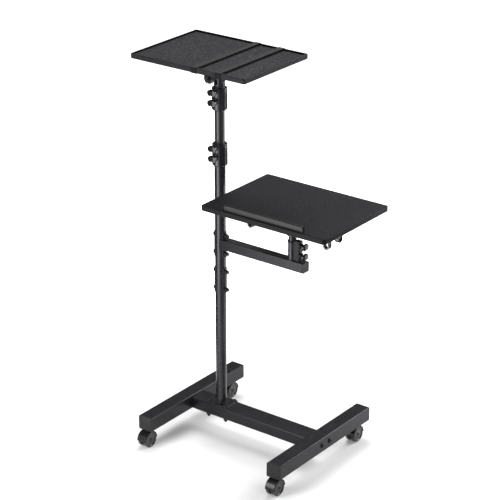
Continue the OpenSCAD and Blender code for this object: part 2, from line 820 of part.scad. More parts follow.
// The tilt knob on the -X side: neck towards the fork, dished face outwards
module tilt_knob() {
  start = fork_flat / 2 + washer_t + part_gap;
  r = knob_d / 2;
  edge = knob_t * 0.2;
  mirror([1, 0, 0]) rotate([0, 90, 0]) translate([0, 0, start]) difference() {
    rotate_extrude() polygon([
      [0, 0], [knob_neck_d / 2, 0], [knob_neck_d / 2, knob_neck_l],
      [r - edge, knob_neck_l], [r, knob_neck_l + edge], [r, knob_neck_l + knob_t - edge],
      [r - edge, knob_neck_l + knob_t], [r * 0.6, knob_neck_l + knob_t],
      [r * 0.5, knob_neck_l + knob_t - edge * 0.6], [0, knob_neck_l + knob_t - edge * 0.6]]);
    translate([0, 0, -overrun])
      cylinder(r = pivot_d / 2 + slide_gap, h = knob_neck_l + knob_t / 2 + overrun);
    for (i = [0:knob_lobes - 1]) rotate([0, 0, i * 360 / knob_lobes])
      translate([r + knob_hollow_r * 0.62, 0, knob_neck_l - overrun])
        cylinder(r = knob_hollow_r, h = knob_t + 2 * overrun);
  }
}

// A tray bracket under z = 0: a plate, and a tongue with its pivot h down
module tray_bracket(h) {
  difference() {
    union() {
      translate([0, 0, -plate_t]) linear_extrude(plate_t)
        round_rect(plate_w, plate_d, plate_round);
      rotate([90, 0, 90]) linear_extrude(tongue_t, center = true) union() {
        translate([0, -h]) circle(r = tongue_r);
        polygon([
          [-tongue_r, -h], [tongue_r, -h],
          [tongue_r, -h * 0.6], [tongue_root / 2, -plate_t * 1.5],
          [tongue_root / 2, -plate_t / 2], [-tongue_root / 2, -plate_t / 2],
          [-tongue_root / 2, -plate_t * 1.5], [-tongue_r, -h * 0.6]]);
      }
    }
    translate([0, 0, -h]) rod(pivot_d / 2 + slide_gap, tongue_t + 2 * overrun, [0, 90, 0]);
    bracket_screw_places() rod(wood_screw_d / 2 + fit_gap, 4 * plate_t, [0, 0, 0]);
  }
}

// The four screw places of a bracket plate
module bracket_screw_places() {
  inset = plate_round * 1.2;
  for (sx = [-1, 1], sy = [-1, 1])
    translate([sx * (plate_w / 2 - inset), sy * (plate_d / 2 - inset), 0]) children();
}

// A wood screw upwards from its head's seat at z = 0
module wood_screw(l) {
  cylinder(d = wood_screw_d, h = l);
  rotate_extrude() polygon([
    [0, 0], [wood_head_d / 2, 0], [wood_head_d * 0.42, -wood_head_h * 0.6],
    [wood_head_d * 0.25, -wood_head_h], [0, -wood_head_h]]);
}

// A board from z = 0 up, with round corners in plan and rounded edges
module board(w, d, t, corner, edge) {
  translate([0, 0, t / 2]) union() {
    rotate([90, 0, 0]) linear_extrude(d - 2 * corner, center = true) round_rect(w, t, edge);
    rotate([90, 0, 90]) linear_extrude(w - 2 * corner, center = true) round_rect(d, t, edge);
    for (sx = [-1, 1], sy = [-1, 1])
      translate([sx * (w / 2 - corner), sy * (d / 2 - corner), 0])
        rotate_extrude() intersection() {
          round_rect(2 * corner, t, edge);
          translate([0, -t]) square([2 * corner, 2 * t]);
        }
  }
}

module head_fork() {
  color("#2a2a2d") from_pole() translate([0, 0, head_base_z])
    tilt_fork(mast_d / 2 + slide_gap - fit_gap);
}

module head_pivot_bolt() {
  color("#1d1d20") from_pole() translate([0, 0, head_pivot_z]) pivot_bolt();
}

module head_tilt_knob() {
  color("#2f2f33") from_pole() translate([0, 0, head_pivot_z]) tilt_knob();
}

// The top tray: a board whose face lies below a raised rim
module top_tray() {
  color("#2c2c2f") from_pole() translate([0, 0, top_tray_z]) difference() {
    board(top_w, top_d, top_t, top_corner, top_edge);
    translate([0, 0, top_t - rim_depth]) linear_extrude(top_t)
      round_rect(top_w - 2 * rim_w, top_d - 2 * rim_w, top_corner / 2);
    bracket_screw_places() rod(wood_screw_d / 2 + fit_gap, 2 * (wood_screw_l - plate_t), [0, 0, 0]);
  }
}

module top_tray_bracket() {
  color("#3a3a3e") from_pole() translate([0, 0, top_tray_z]) tray_bracket(head_tilt_h);
}

module top_tray_screws() {
  color("#1d1d20") from_pole() translate([0, 0, top_tray_z - plate_t])
    bracket_screw_places() wood_screw(wood_screw_l - part_gap);
}

// One elastic strap round the tray; drop is how far its lower run hangs
module strap(x, drop) {
  in_d = top_d + 2 * part_gap;
  in_t = top_t + 2 * part_gap;
  flat = top_d / 2 - top_edge * 2;
  run = plate_d / 2 + plate_round;
  low = in_t / 2 + drop;
  translate([x, 0, top_tray_z + top_t / 2]) rotate([90, 0, 90])
    linear_extrude(strap_w, center = true) difference() {
      union() {
        round_rect(in_d + 2 * strap_t, in_t + 2 * strap_t, top_edge + part_gap + strap_t);
        if (drop > 0) polygon([[-flat, 0], [-flat, -in_t / 2 - strap_t],
          [-run, -low - strap_t], [run, -low - strap_t],
          [flat, -in_t / 2 - strap_t], [flat, 0]]);
      }
      round_rect(in_d, in_t, top_edge + part_gap);
      if (drop > 0) polygon([[-flat, 0], [-flat, -in_t / 2], [-run, -low], [run, -low],
        [flat, -in_t / 2], [flat, 0]]);
    }
}

module tray_straps() {
  color("#161618") from_pole() {
    strap(strap_a_x, plate_t);
    strap(strap_b_x, 0);
  }
}

// The ring clamped on the post, which rests on the upright
module post_ring() {
  color("#1b1b1d") from_pole() translate([upright_x, 0, upright_top_z + part_gap])
    difference() {
      rotate_extrude() polygon([
        [post_d / 2 + slide_gap, 0], [ring_d / 2, 0],
        [ring_d / 2, ring_h - collar_groove], [ring_d / 2 - collar_groove, ring_h],
        [post_d / 2 + slide_gap, ring_h]]);
      translate([ring_d / 2, 0, ring_h / 2])
        rod(wood_screw_d / 2, ring_d / 2, [0, 90, 0]);
    }
}

module laptop_post() {
  color("#3a3a3e") from_pole() translate([upright_x, 0, arm_top_z + part_gap])
    difference() {
      cylinder(d = post_d, h = lap_base_z - arm_top_z - part_gap);
      translate([0, 0, -overrun])
        cylinder(r = post_d / 2 - post_wall, h = lap_base_z);
    }
}

module laptop_fork() {
  color("#2a2a2d") from_pole() translate([upright_x, 0, lap_base_z])
    tilt_fork(post_d / 2 - post_wall - fit_gap);
}

module laptop_pivot_bolt() {
  color("#1d1d20") from_pole() translate([upright_x, 0, lap_pivot_z]) pivot_bolt();
}

module laptop_tilt_knob() {
  color("#2f2f33") from_pole() translate([upright_x, 0, lap_pivot_z]) tilt_knob();
}

// Puts a hook's or its screw's own frame at each hook place
module at_hooks() {
  for (p = hook_place_shares)
    translate([p[0] * lap_w / 2, p[1] * lap_d / 2, 0]) rotate([0, 0, p[2]]) children();
}

module laptop_tray() {
  color("#2a2a2d") from_pole() difference() {
    translate([lap_mid_x, 0, lap_tray_z]) board(lap_w, lap_d, lap_t, lap_corner, lap_edge);
    translate([upright_x, 0, lap_tray_z]) bracket_screw_places()
      rod(wood_screw_d / 2 + fit_gap, 2 * (wood_screw_l - plate_t), [0, 0, 0]);
    translate([lap_mid_x, 0, lap_tray_z]) {
      translate([-bar_l / 2 - part_gap, -lap_d / 2 - overrun, lap_t - bar_rebate])
        cube([bar_l + 2 * part_gap, bar_inset + bar_t + bar_cap_out + part_gap + overrun,
          bar_rebate + overrun]);
      for (sx = [-1, 1]) translate([sx * bar_screw_x, bar_y, lap_t / 2])
        rod(wood_screw_d / 2 + fit_gap, lap_t + 2 * overrun, [0, 0, 0]);
      at_hooks() translate([hook_screw_x, 0, 0])
        rod(wood_screw_d / 2 + fit_gap, 2 * (wood_screw_l - hook_t), [0, 0, 0]);
    }
  }
}

module laptop_tray_bracket() {
  color("#3a3a3e") from_pole() translate([upright_x, 0, lap_tray_z]) tray_bracket(tilt_h);
}

module laptop_tray_screws() {
  color("#1d1d20") from_pole() {
    translate([upright_x, 0, lap_tray_z - plate_t])
      bracket_screw_places() wood_screw(wood_screw_l - part_gap);
    translate([lap_mid_x, 0, lap_tray_z]) {
      for (sx = [-1, 1]) translate([sx * bar_screw_x, bar_y, 0])
        wood_screw(lap_t - bar_rebate + bar_h / 2 - part_gap);
      translate([0, 0, -hook_t]) at_hooks() translate([hook_screw_x, 0, 0])
        wood_screw(wood_screw_l - part_gap);
    }
  }
}

// The stop bar on the tray's front edge: a padded bar between two end caps
module stop_bar() {
  r = bar_t / 2;
  color("#303034") from_pole()
    translate([lap_mid_x, bar_y, lap_tray_z + lap_t - bar_rebate])
    difference() {
      rotate([90, 0, 90]) union() {
        linear_extrude(bar_l - 2 * bar_cap_l, center = true) bar_section(0);
        for (sx = [-1, 1])
          translate([0, 0, sx * (bar_l - bar_cap_l) / 2])
            linear_extrude(bar_cap_l, center = true) bar_section(bar_cap_out);
      }
      for (sx = [-1, 1]) translate([sx * bar_screw_x, 0, 0])
        rod(wood_screw_d / 2 + fit_gap, bar_h, [0, 0, 0]);
    }
}

// The bar's section: flat below, half round on top, grown by out
module bar_section(out) {
  r = bar_t / 2 + out;
  union() {
    translate([-r, 0]) square([2 * r, bar_h - bar_t / 2]);
    translate([0, bar_h - bar_t / 2]) circle(r = r);
  }
}

// A J hook under z = 0: flange, leg, bend and tip, opening towards -X
module tray_hook() {
  leg_x = hook_r + hook_t / 2;
  rotate([90, 0, 0]) linear_extrude(hook_w, center = true) union() {
    translate([leg_x + hook_t / 2 - hook_flange_l, -hook_t])
      square([hook_flange_l, hook_t]);
    translate([leg_x - hook_t / 2, -hook_drop]) square([hook_t, hook_drop]);
    translate([0, -hook_drop]) difference() {
      circle(r = hook_r + hook_t);
      circle(r = hook_r);
      translate([-2 * leg_x, 0]) square([4 * leg_x, 2 * leg_x]);
    }
    translate([-leg_x - hook_t / 2, -hook_drop]) square([hook_t, hook_tip]);
    translate([-leg_x, -hook_drop + hook_tip]) circle(d = hook_t);
  }
}

module tray_hooks() {
  color("#1d1d20") from_pole() translate([lap_mid_x, 0, lap_tray_z])
    difference() {
      at_hooks() tray_hook();
      at_hooks() translate([hook_screw_x, 0, 0])
        rod(wood_screw_d / 2 + fit_gap, 4 * hook_t, [0, 0, 0]);
    }
}

// Puts a caster's own frame, swivel axis at the origin, at a corner
module at_caster(right, back) {
  from_pole()
    translate([right ? right_reach : -left_reach, (back ? 1 : -1) * caster_y, 0]) children();
}

// The four fixed stems: pin in the swivel body, flange, and nut in the foot
module caster_stems() {
  color("#8a8a90") for (right = [false, true], back = [false, true])
    at_caster(right, back) {
      translate([0, 0, foot_z - stem_flange_t - stem_depth])
        cylinder(d = stem_d, h = stem_depth + stem_flange_t + base_wall + stem_d);
      translate([0, 0, foot_z - stem_flange_t + part_gap])
        cylinder(d = stem_flange_d, h = stem_flange_t - part_gap);
      translate([0, 0, foot_z + base_wall]) hex_nut(stem_d * 0.9);
    }
}

// A twin-wheel swivel body: web, half-round hood over both wheels, stem boss
module caster_body() {
  r = wheel_d / 2;
  top = foot_z - stem_flange_t;
  bevel = fender_t * 0.6;
  difference() {
    union() {
      translate([0, -trail, r]) rotate([0, 90, 0]) {
        cylinder(r = r * 0.82, h = hub_w, center = true);
        difference() {
          rotate_extrude() polygon([
            [0, -hub_w / 2], [r + fender_gap, -hub_w / 2],
            [r + fender_gap, -caster_w / 2], [fender_r - bevel, -caster_w / 2],
            [fender_r, bevel - caster_w / 2], [fender_r, caster_w / 2 - bevel],
            [fender_r - bevel, caster_w / 2], [r + fender_gap, caster_w / 2],
            [r + fender_gap, hub_w / 2], [0, hub_w / 2]]);
          translate([0, -2 * r, -caster_w]) cube([4 * r, 4 * r, 2 * caster_w]);
        }
      }
      translate([0, 0, r]) cylinder(d = hub_w, h = top - r);
      translate([0, 0, r + fender_r - trail / 2])
        cylinder(d = stem_flange_d * 0.9, h = top - r - fender_r + trail / 2);
    }
    for (side = [0, 1]) mirror([side, 0, 0])
      translate([hub_w / 2, -trail, r]) rotate([0, 90, 0])
        cylinder(r = r + fender_gap, h = caster_w);
    translate([0, 0, top - stem_depth - part_gap])
      cylinder(r = stem_d / 2 + slide_gap, h = stem_depth + 2 * part_gap + overrun);
    translate([0, -trail, r]) rod(axle_d / 2 + fit_gap, caster_w, [0, 90, 0]);
  }
}

// The steel axle that carries both wheels of a caster
module caster_axle(right, back) {
  color("#8a8a90") at_caster(right, back)
    translate([0, -trail, wheel_d / 2]) rod(axle_d / 2, caster_w, [0, 90, 0]);
}

// One wheel about X, its dished face outwards at +X from x = 0
module caster_wheel() {
  r = wheel_d / 2;
  bore = axle_d / 2 + slide_gap;
  round = wheel_w * 0.2;
  rotate([0, 90, 0]) rotate_extrude() polygon([
    [bore, 0], [r - round, 0], [r, round], [r, wheel_w - round], [r - round, wheel_w],
    [r * 0.8, wheel_w], [r * 0.72, wheel_w * 0.8], [r * 0.35, wheel_w * 0.86],
    [r * 0.3, wheel_w], [bore, wheel_w]]);
}

// A wheel in place on one side of a caster, side 0 at -X and 1 at +X
module wheel_at(right, back, side) {
  color("#1a1a1c") at_caster(right, back) translate([0, -trail, wheel_d / 2])
    mirror([1 - side, 0, 0]) translate([hub_w / 2 + part_gap, 0, 0]) caster_wheel();
}

module caster_body_lf() {
  color("#1a1a1c") at_caster(false, false) caster_body();
}

module caster_axle_lf() {
  caster_axle(false, false);
}

module wheel_lf_left() {
  wheel_at(false, false, 0);
}

module wheel_lf_right() {
  wheel_at(false, false, 1);
}

module caster_body_rf() {
  color("#1a1a1c") at_caster(true, false) caster_body();
}

module caster_axle_rf() {
  caster_axle(true, false);
}

module wheel_rf_left() {
  wheel_at(true, false, 0);
}

module wheel_rf_right() {
  wheel_at(true, false, 1);
}

module caster_body_lr() {
  color("#1a1a1c") at_caster(false, true) caster_body();
}

module caster_axle_lr() {
  caster_axle(false, true);
}

module wheel_lr_left() {
  wheel_at(false, true, 0);
}

module wheel_lr_right() {
  wheel_at(false, true, 1);
}

module caster_body_rr() {
  color("#1a1a1c") at_caster(true, true) caster_body();
}

module caster_axle_rr() {
  caster_axle(true, true);
}

module wheel_rr_left() {
  wheel_at(true, true, 0);
}

module wheel_rr_right() {
  wheel_at(true, true, 1);
}

foot_left();
foot_right();
end_caps();
cross_tube();
base_bolts();
pole_flange();
flange_bolts();
lower_pole();
lower_collar();
lower_collar_bush();
lower_wing_screw_1();
lower_wing_screw_2();
saddle_plates();
saddle_bolts();
arm_tube();
arm_upright();
clamp_block();
arm_wing_screw_1();
arm_wing_screw_2();
mast_tube();
mast_guide();
upper_collar();
upper_collar_bush();
upper_wing_screw_1();
upper_wing_screw_2();
head_sleeve();
head_fork();
head_pivot_bolt();
head_tilt_knob();
top_tray();
top_tray_bracket();
top_tray_screws();
tray_straps();
post_ring();
laptop_post();
laptop_fork();
laptop_pivot_bolt();
laptop_tilt_knob();
laptop_tray();
laptop_tray_bracket();
laptop_tray_screws();
stop_bar();
tray_hooks();
caster_stems();
caster_body_lf();
caster_body_rf();
caster_body_lr();
caster_body_rr();
caster_axle_lf();
caster_axle_rf();
caster_axle_lr();
caster_axle_rr();
wheel_lf_left();
wheel_lf_right();
wheel_rf_left();
wheel_rf_right();
wheel_lr_left();
wheel_lr_right();
wheel_rr_left();
wheel_rr_right();
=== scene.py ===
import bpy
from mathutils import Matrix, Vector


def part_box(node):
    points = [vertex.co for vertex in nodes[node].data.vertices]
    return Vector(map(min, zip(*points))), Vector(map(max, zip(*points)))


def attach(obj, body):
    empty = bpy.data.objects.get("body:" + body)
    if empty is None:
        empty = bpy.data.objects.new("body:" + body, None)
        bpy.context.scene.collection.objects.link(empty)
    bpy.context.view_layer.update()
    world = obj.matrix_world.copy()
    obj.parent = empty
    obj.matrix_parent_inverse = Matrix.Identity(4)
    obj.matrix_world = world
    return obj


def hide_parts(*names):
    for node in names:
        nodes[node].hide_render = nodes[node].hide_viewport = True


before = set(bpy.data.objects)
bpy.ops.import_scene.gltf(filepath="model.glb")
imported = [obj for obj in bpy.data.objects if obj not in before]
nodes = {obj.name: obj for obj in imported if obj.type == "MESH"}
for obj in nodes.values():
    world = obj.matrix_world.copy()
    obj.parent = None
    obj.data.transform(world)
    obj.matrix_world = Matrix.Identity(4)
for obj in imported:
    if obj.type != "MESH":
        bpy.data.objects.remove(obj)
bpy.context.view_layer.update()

import math

import bmesh
import bpy
from mathutils import Matrix, Vector

scene = bpy.context.scene

# Camera: a 136 mm lens from the front right, 37 degrees round and 23 degrees
# down, worked out from the photograph's edges. The pole's axis is the origin
# of that fit, at a level 60 mm under the feet.
pole_low, pole_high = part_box("lower_pole")
pole_x = (pole_low.x + pole_high.x) / 2
pole_y = (pole_low.y + pole_high.y) / 2
fit_origin = Vector((pole_x, pole_y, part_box("foot_left")[0].z - 0.060))
fit_right, fit_up, fit_back = 0.085534, 0.544585, 5.704566
yaw, pitch = 0.646545, 0.401959
lens_mm, sensor_mm = 135.734, 36.0
near_clip, far_clip = 0.1, 60.0

right = Vector((math.cos(yaw), math.sin(yaw), 0.0))
level = Vector((-math.sin(yaw), math.cos(yaw), 0.0))
ahead = level * math.cos(pitch) - Vector((0, 0, 1)) * math.sin(pitch)
up = level * math.sin(pitch) + Vector((0, 0, 1)) * math.cos(pitch)
place = right * fit_right + up * fit_up - ahead * fit_back + fit_origin
camera = bpy.data.objects.new("photo_camera", bpy.data.cameras.new("photo_camera"))
scene.collection.objects.link(camera)
camera.data.lens = lens_mm
camera.data.sensor_width = sensor_mm
camera.data.sensor_fit = "HORIZONTAL"
camera.data.clip_start, camera.data.clip_end = near_clip, far_clip
camera.matrix_world = Matrix((
    (right.x, up.x, -ahead.x, place.x),
    (right.y, up.y, -ahead.y, place.y),
    (right.z, up.z, -ahead.z, place.z),
    (0, 0, 0, 1)))
scene.camera = camera

# Base tubes: two rectangular feet and the cross tube between them, cut from
# rolled steel tube and coated with satin black powder. The coat has a fine
# orange peel and a slightly uneven gloss, and its edges are painted paler,
# partly as wear and partly as a painted highlight.
coat_tint = (0.94, 0.92, 1.0)
# Edge colour: part wear, part a painted highlight along the edges.
edge_wear_and_highlight = (0.150, 0.150, 0.154)


def plain_finish(name, colour, roughness, specular):
    """A material with its constant values on the shader, and its node tree."""
    finish = bpy.data.materials.new(name)
    finish.use_nodes = True
    tree = finish.node_tree
    shader = tree.nodes["Principled BSDF"]
    shader.inputs["Base Color"].default_value = (*colour, 1)
    shader.inputs["Roughness"].default_value = roughness
    shader.inputs["Specular IOR Level"].default_value = specular
    return finish, tree, shader


def add_node(tree, kind, **values):
    """A node of that kind with its inputs or settings given by name."""
    node = tree.nodes.new(kind)
    for key, value in values.items():
        if hasattr(node, key):
            setattr(node, key, value)
        else:
            node.inputs[key].default_value = value
    return node


def combine(tree, operation, first, second):
    """Two values added, multiplied or compared."""
    both = add_node(tree, "ShaderNodeMath", operation=operation)
    tree.links.new(first, both.inputs[0])
    tree.links.new(second, both.inputs[1])
    return both.outputs[0]


def grain(tree, scale, detail=3.0, roughness=0.55):
    """Noise on the piece's own coordinates, in cycles a metre."""
    where = add_node(tree, "ShaderNodeTexCoord")
    noise = add_node(tree, "ShaderNodeTexNoise", Scale=scale, Detail=detail,
                     Roughness=roughness)
    tree.links.new(where.outputs["Object"], noise.inputs["Vector"])
    return noise.outputs["Fac"]


def ramp(tree, source, low, high, out_low=0.0, out_high=1.0):
    """Maps a value from one span to another, held at both ends."""
    scale = add_node(tree, "ShaderNodeMapRange", clamp=True)
    for key, value in (("From Min", low), ("From Max", high),
                       ("To Min", out_low), ("To Max", out_high)):
        scale.inputs[key].default_value = value
    tree.links.new(source, scale.inputs["Value"])
    return scale.outputs["Result"]


def blend_colour(tree, factor, first, second):
    """A colour between two by a varying factor."""
    mix = add_node(tree, "ShaderNodeMix", data_type="RGBA")
    tree.links.new(factor, mix.inputs["Factor"])
    for socket, colour in ((6, first), (7, second)):
        if isinstance(colour, tuple):
            mix.inputs[socket].default_value = (*colour, 1)
        else:
            tree.links.new(colour, mix.inputs[socket])
    return mix.outputs[2]


def colour_between(tree, shader, factor, first, second):
    """Colours the surface between two shades by a varying factor."""
    tree.links.new(blend_colour(tree, factor, first, second), shader.inputs["Base Color"])


def gloss_between(tree, shader, source, low, high, smooth, rough):
    """Varies the roughness between two values as a source runs low to high."""
    tree.links.new(ramp(tree, source, low, high, smooth, rough), shader.inputs["Roughness"])


def relief(tree, shader, height, depth, strength, soft_edge=0.0):
    """Bumps the surface by a height map, over edges softened by a radius."""
    bump = add_node(tree, "ShaderNodeBump", Strength=strength, Distance=depth)
    tree.links.new(height, bump.inputs["Height"])
    if soft_edge:
        edge = add_node(tree, "ShaderNodeBevel", samples=4, Radius=soft_edge)
        tree.links.new(edge.outputs["Normal"], bump.inputs["Normal"])
    tree.links.new(bump.outputs["Normal"], shader.inputs["Normal"])


def outer_edge_mask(tree, radius):
    """A mask that is 1 along sharp outer edges and 0 on open faces."""
    edge = add_node(tree, "ShaderNodeBevel", samples=4, Radius=radius)
    flat = add_node(tree, "ShaderNodeNewGeometry")
    turn = add_node(tree, "ShaderNodeVectorMath", operation="DOT_PRODUCT")
    tree.links.new(edge.outputs["Normal"], turn.inputs[0])
    tree.links.new(flat.outputs["Normal"], turn.inputs[1])
    return ramp(tree, turn.outputs["Value"], 0.97, 0.80)


def powder_coat(name, dark, pale, roughness, peel, specular):
    """Satin powder coat: uneven black, orange peel, and paler edges that are part wear and part
    painted highlight.
    """
    finish, tree, shader = plain_finish(name, dark, roughness, specular)
    shader.inputs["Specular Tint"].default_value = (*coat_tint, 1)
    speck = ramp(tree, grain(tree, 430.0, 3.0, 0.6), 0.48, 0.66)
    coat = blend_colour(tree, speck, dark, pale)
    # Paler edges: part wear, part a painted highlight along the outer edges.
    patch = ramp(tree, grain(tree, 55.0, 5.0, 0.7), 0.44, 0.60, 0.25, 0.9)
    edge_mark = combine(tree, "MULTIPLY", outer_edge_mask(tree, 0.0014), patch)
    colour_between(tree, shader, edge_mark, coat, edge_wear_and_highlight)
    gloss_between(tree, shader, grain(tree, 38.0, 4.0), 0.3, 0.7,
                  roughness - 0.05, roughness + 0.06)
    relief(tree, shader, grain(tree, peel, 2.0), 0.00012, 0.35, 0.0028)
    return finish


def paint(finish, *names):
    """Gives CAD nodes their finish."""
    for name in names:
        mesh = nodes[name].data
        mesh.materials.clear()
        mesh.materials.append(finish)


frame_coat = powder_coat("satin_black_powder", (0.0050, 0.0049, 0.0057),
                         (0.0150, 0.0147, 0.0168), 0.31, 1300.0, 0.28)
paint(frame_coat, "foot_left", "foot_right", "cross_tube")

# End caps: black nylon plugs pressed into the four foot ends and the arm's
# end, their flanges flush with the tubes. Moulded, with a fine spark grain.
cap_nylon, tree, shader = plain_finish("cap_nylon", (0.011, 0.011, 0.0115), 0.42, 0.25)
colour_between(tree, shader, ramp(tree, grain(tree, 30.0), 0.35, 0.65),
               (0.0090, 0.0090, 0.0095), (0.0135, 0.0135, 0.0142))
gloss_between(tree, shader, grain(tree, 90.0), 0.3, 0.7, 0.44, 0.58)
relief(tree, shader, grain(tree, 2600.0, 2.0), 0.0001, 0.45, 0.0007)
paint(cap_nylon, "end_caps")

# Bolts and screws: blackened steel, through the feet, the pole's flange, the
# saddles and the tilt forks, and up into the trays. Black oxide shows
# brown-grey metal where a spanner rubbed.
rubbed_steel = (0.16, 0.155, 0.15)


def black_oxide(name):
    """Blackened steel with bare metal on its rubbed corners."""
    finish, tree, shader = plain_finish(name, (0.02, 0.02, 0.021), 0.33, 0.5)
    shader.inputs["Metallic"].default_value = 0.6
    patch = ramp(tree, grain(tree, 420.0, 4.0), 0.42, 0.62, 0.1, 0.9)
    edge_mark = combine(tree, "MULTIPLY", outer_edge_mask(tree, 0.0007), patch)
    colour_between(tree, shader, edge_mark, (0.018, 0.018, 0.019), rubbed_steel)
    gloss_between(tree, shader, grain(tree, 260.0), 0.3, 0.7, 0.26, 0.42)
    relief(tree, shader, grain(tree, 1800.0), 0.00008, 0.3, 0.0004)
    return finish


bolt_black = black_oxide("bolt_black_oxide")
paint(bolt_black, "base_bolts", "flange_bolts", "saddle_bolts", "head_pivot_bolt",
      "laptop_pivot_bolt", "top_tray_screws", "laptop_tray_screws")

# Screw threads: the turns that show on the bolt tips below the cross tube and
# beyond the saddle nuts. Each turn is a fine ring set along the tip by a
# Geometry Nodes tree, a pitch apart.
head_radius = 0.0076
saddle_bolt_pitch = 0.056
tip_start, tip_end = 0.0004, 0.0046
thread_sizes = {"Pitch": 0.0011, "Radius": 0.0040, "Ridge": 0.00028}


def row_tree(name, finish, sizes):
    """A tree that sets copies of a shape along paths, its first size apart."""
    tree = bpy.data.node_groups.new(name, "GeometryNodeTree")
    add_socket = tree.interface.new_socket
    add_socket("Geometry", in_out="INPUT", socket_type="NodeSocketGeometry")
    for title, value in sizes.items():
        kind = "NodeSocketInt" if isinstance(value, int) else "NodeSocketFloat"
        add_socket(title, in_out="INPUT", socket_type=kind).default_value = value
    add_socket("Geometry", in_out="OUTPUT", socket_type="NodeSocketGeometry")
    given = tree.nodes.new("NodeGroupInput")
    spaced = add_node(tree, "GeometryNodeResampleCurve", mode="LENGTH")
    spread = tree.nodes.new("GeometryNodeInstanceOnPoints")
    coat = add_node(tree, "GeometryNodeSetMaterial", Material=finish)
    chain = (given, tree.nodes.new("GeometryNodeMeshToCurve"), spaced, spread,
             tree.nodes.new("GeometryNodeRealizeInstances"), coat,
             tree.nodes.new("NodeGroupOutput"))
    for first, following in zip(chain, chain[1:]):
        tree.links.new(first.outputs[0], following.inputs[0])
    tree.links.new(given.outputs[next(iter(sizes))], spaced.inputs["Length"])
    return tree, given, spread


def face_along(tree, spread):
    """Turns each copy so that its own Z axis follows the path."""
    face = add_node(tree, "FunctionNodeAlignEulerToVector", axis="Z")
    tangent = tree.nodes.new("GeometryNodeInputTangent")
    tree.links.new(tangent.outputs["Tangent"], face.inputs["Vector"])
    tree.links.new(face.outputs["Rotation"], spread.inputs["Rotation"])


def path_mesh(name, paths):
    """A mesh of open or closed chains of edges, one for each path."""
    mesh = bpy.data.meshes.new(name)
    points, edges = [], []
    for path, closed in paths:
        first = len(points)
        points += [tuple(p) for p in path]
        edges += [(first + i, first + i + 1) for i in range(len(path) - 1)]
        if closed:
            edges.append((len(points) - 1, first))
    mesh.from_pydata(points, edges, [])
    return mesh


def grown(name, mesh, tree, body, sizes):
    """Runs a tree on a mesh, keeps the result as a plain mesh, and lets it ride."""
    seed = bpy.data.objects.new(name + "_path", mesh)
    scene.collection.objects.link(seed)
    run = seed.modifiers.new("grow", "NODES")
    run.node_group = tree
    for item in tree.interface.items_tree:
        if item.in_out == "INPUT" and item.name in sizes:
            run[item.identifier] = sizes[item.name]
    state = seed.evaluated_get(bpy.context.evaluated_depsgraph_get())
    made = bpy.data.meshes.new_from_object(state)
    made.name = name
    seed.modifiers.remove(run)
    bpy.data.objects.remove(seed)
    piece = bpy.data.objects.new(name, made)
    scene.collection.objects.link(piece)
    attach(piece, body)
    return piece


thread_tree, given, spread = row_tree("thread_turns", bolt_black, thread_sizes)
circle = add_node(thread_tree, "GeometryNodeCurvePrimitiveCircle", Resolution=28)
ridge = add_node(thread_tree, "GeometryNodeCurvePrimitiveCircle", Resolution=6)
sweep = thread_tree.nodes.new("GeometryNodeCurveToMesh")
for source, target in ((given.outputs["Radius"], circle.inputs["Radius"]),
                       (given.outputs["Ridge"], ridge.inputs["Radius"]),
                       (circle.outputs["Curve"], sweep.inputs["Curve"]),
                       (ridge.outputs["Curve"], sweep.inputs["Profile Curve"]),
                       (sweep.outputs["Mesh"], spread.inputs["Instance"])):
    thread_tree.links.new(source, target)
face_along(thread_tree, spread)

flange_low, flange_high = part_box("flange_bolts")
reach_x = (flange_high.x - flange_low.x) / 2 - head_radius
reach_y = (flange_high.y - flange_low.y) / 2 - head_radius
tips = [([(pole_x + side * reach_x, pole_y + end * reach_y, flange_low.z + rise)
          for rise in (tip_start, tip_end)], False)
        for side in (-1, 1) for end in (-1, 1)]
threads = grown("flange_bolt_threads", path_mesh("flange_tips", tips), thread_tree,
                "base_frame", thread_sizes)
saddle_low, saddle_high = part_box("saddle_bolts")
heights = (saddle_low.z + head_radius, saddle_low.z + head_radius + saddle_bolt_pitch,
           saddle_high.z - head_radius - saddle_bolt_pitch, saddle_high.z - head_radius)
tips = [([(saddle_high.x - back, pole_y, z) for back in (tip_end, tip_start)], False)
        for z in heights]
threads = grown("saddle_bolt_threads", path_mesh("saddle_tips", tips), thread_tree,
                "base_frame", thread_sizes)

# Pole, flange, saddles, arm, upright, post, head sleeve and tray brackets: cut,
# coped and welded steel under the same powder coat, a shade glossier than the
# feet where the tube is drawn.
tube_coat = powder_coat("drawn_tube_powder", (0.0080, 0.0079, 0.0089),
                        (0.0150, 0.0148, 0.0166), 0.28, 1500.0, 0.5)
paint(frame_coat, "pole_flange", "saddle_plates", "arm_tube", "top_tray_bracket",
      "laptop_tray_bracket")
paint(tube_coat, "lower_pole", "arm_upright", "head_sleeve", "laptop_post")

# Weld beads: rippled fillets round the pole's foot and the upright's, and all
# round the arm's coped end, over the saddle plate. Each ripple is a small drop
# of uneven size, laid along the joint by a Geometry Nodes tree.
bead_sizes = {"Spacing": 0.0013, "Bead": 0.0017, "Seed": 4}
smallest_drop, largest_drop = 0.86, 1.08
foot_stand, upright_stand, upright_rise = 0.0010, 0.0006, 0.0004
pole_stand, plate_stand, plate_lap = 0.0006, 0.0029, 0.0002
cope_steps, cope_inset = 16, 0.001
arm_stand, side_out, side_back, side_inset = 0.0001, 0.0002, 0.0004, 0.0015


def ring_path(x, y, z, radius, steps=72):
    """A level circle of points."""
    return [(x + radius * math.cos(2 * math.pi * i / steps),
             y + radius * math.sin(2 * math.pi * i / steps), z) for i in range(steps)]


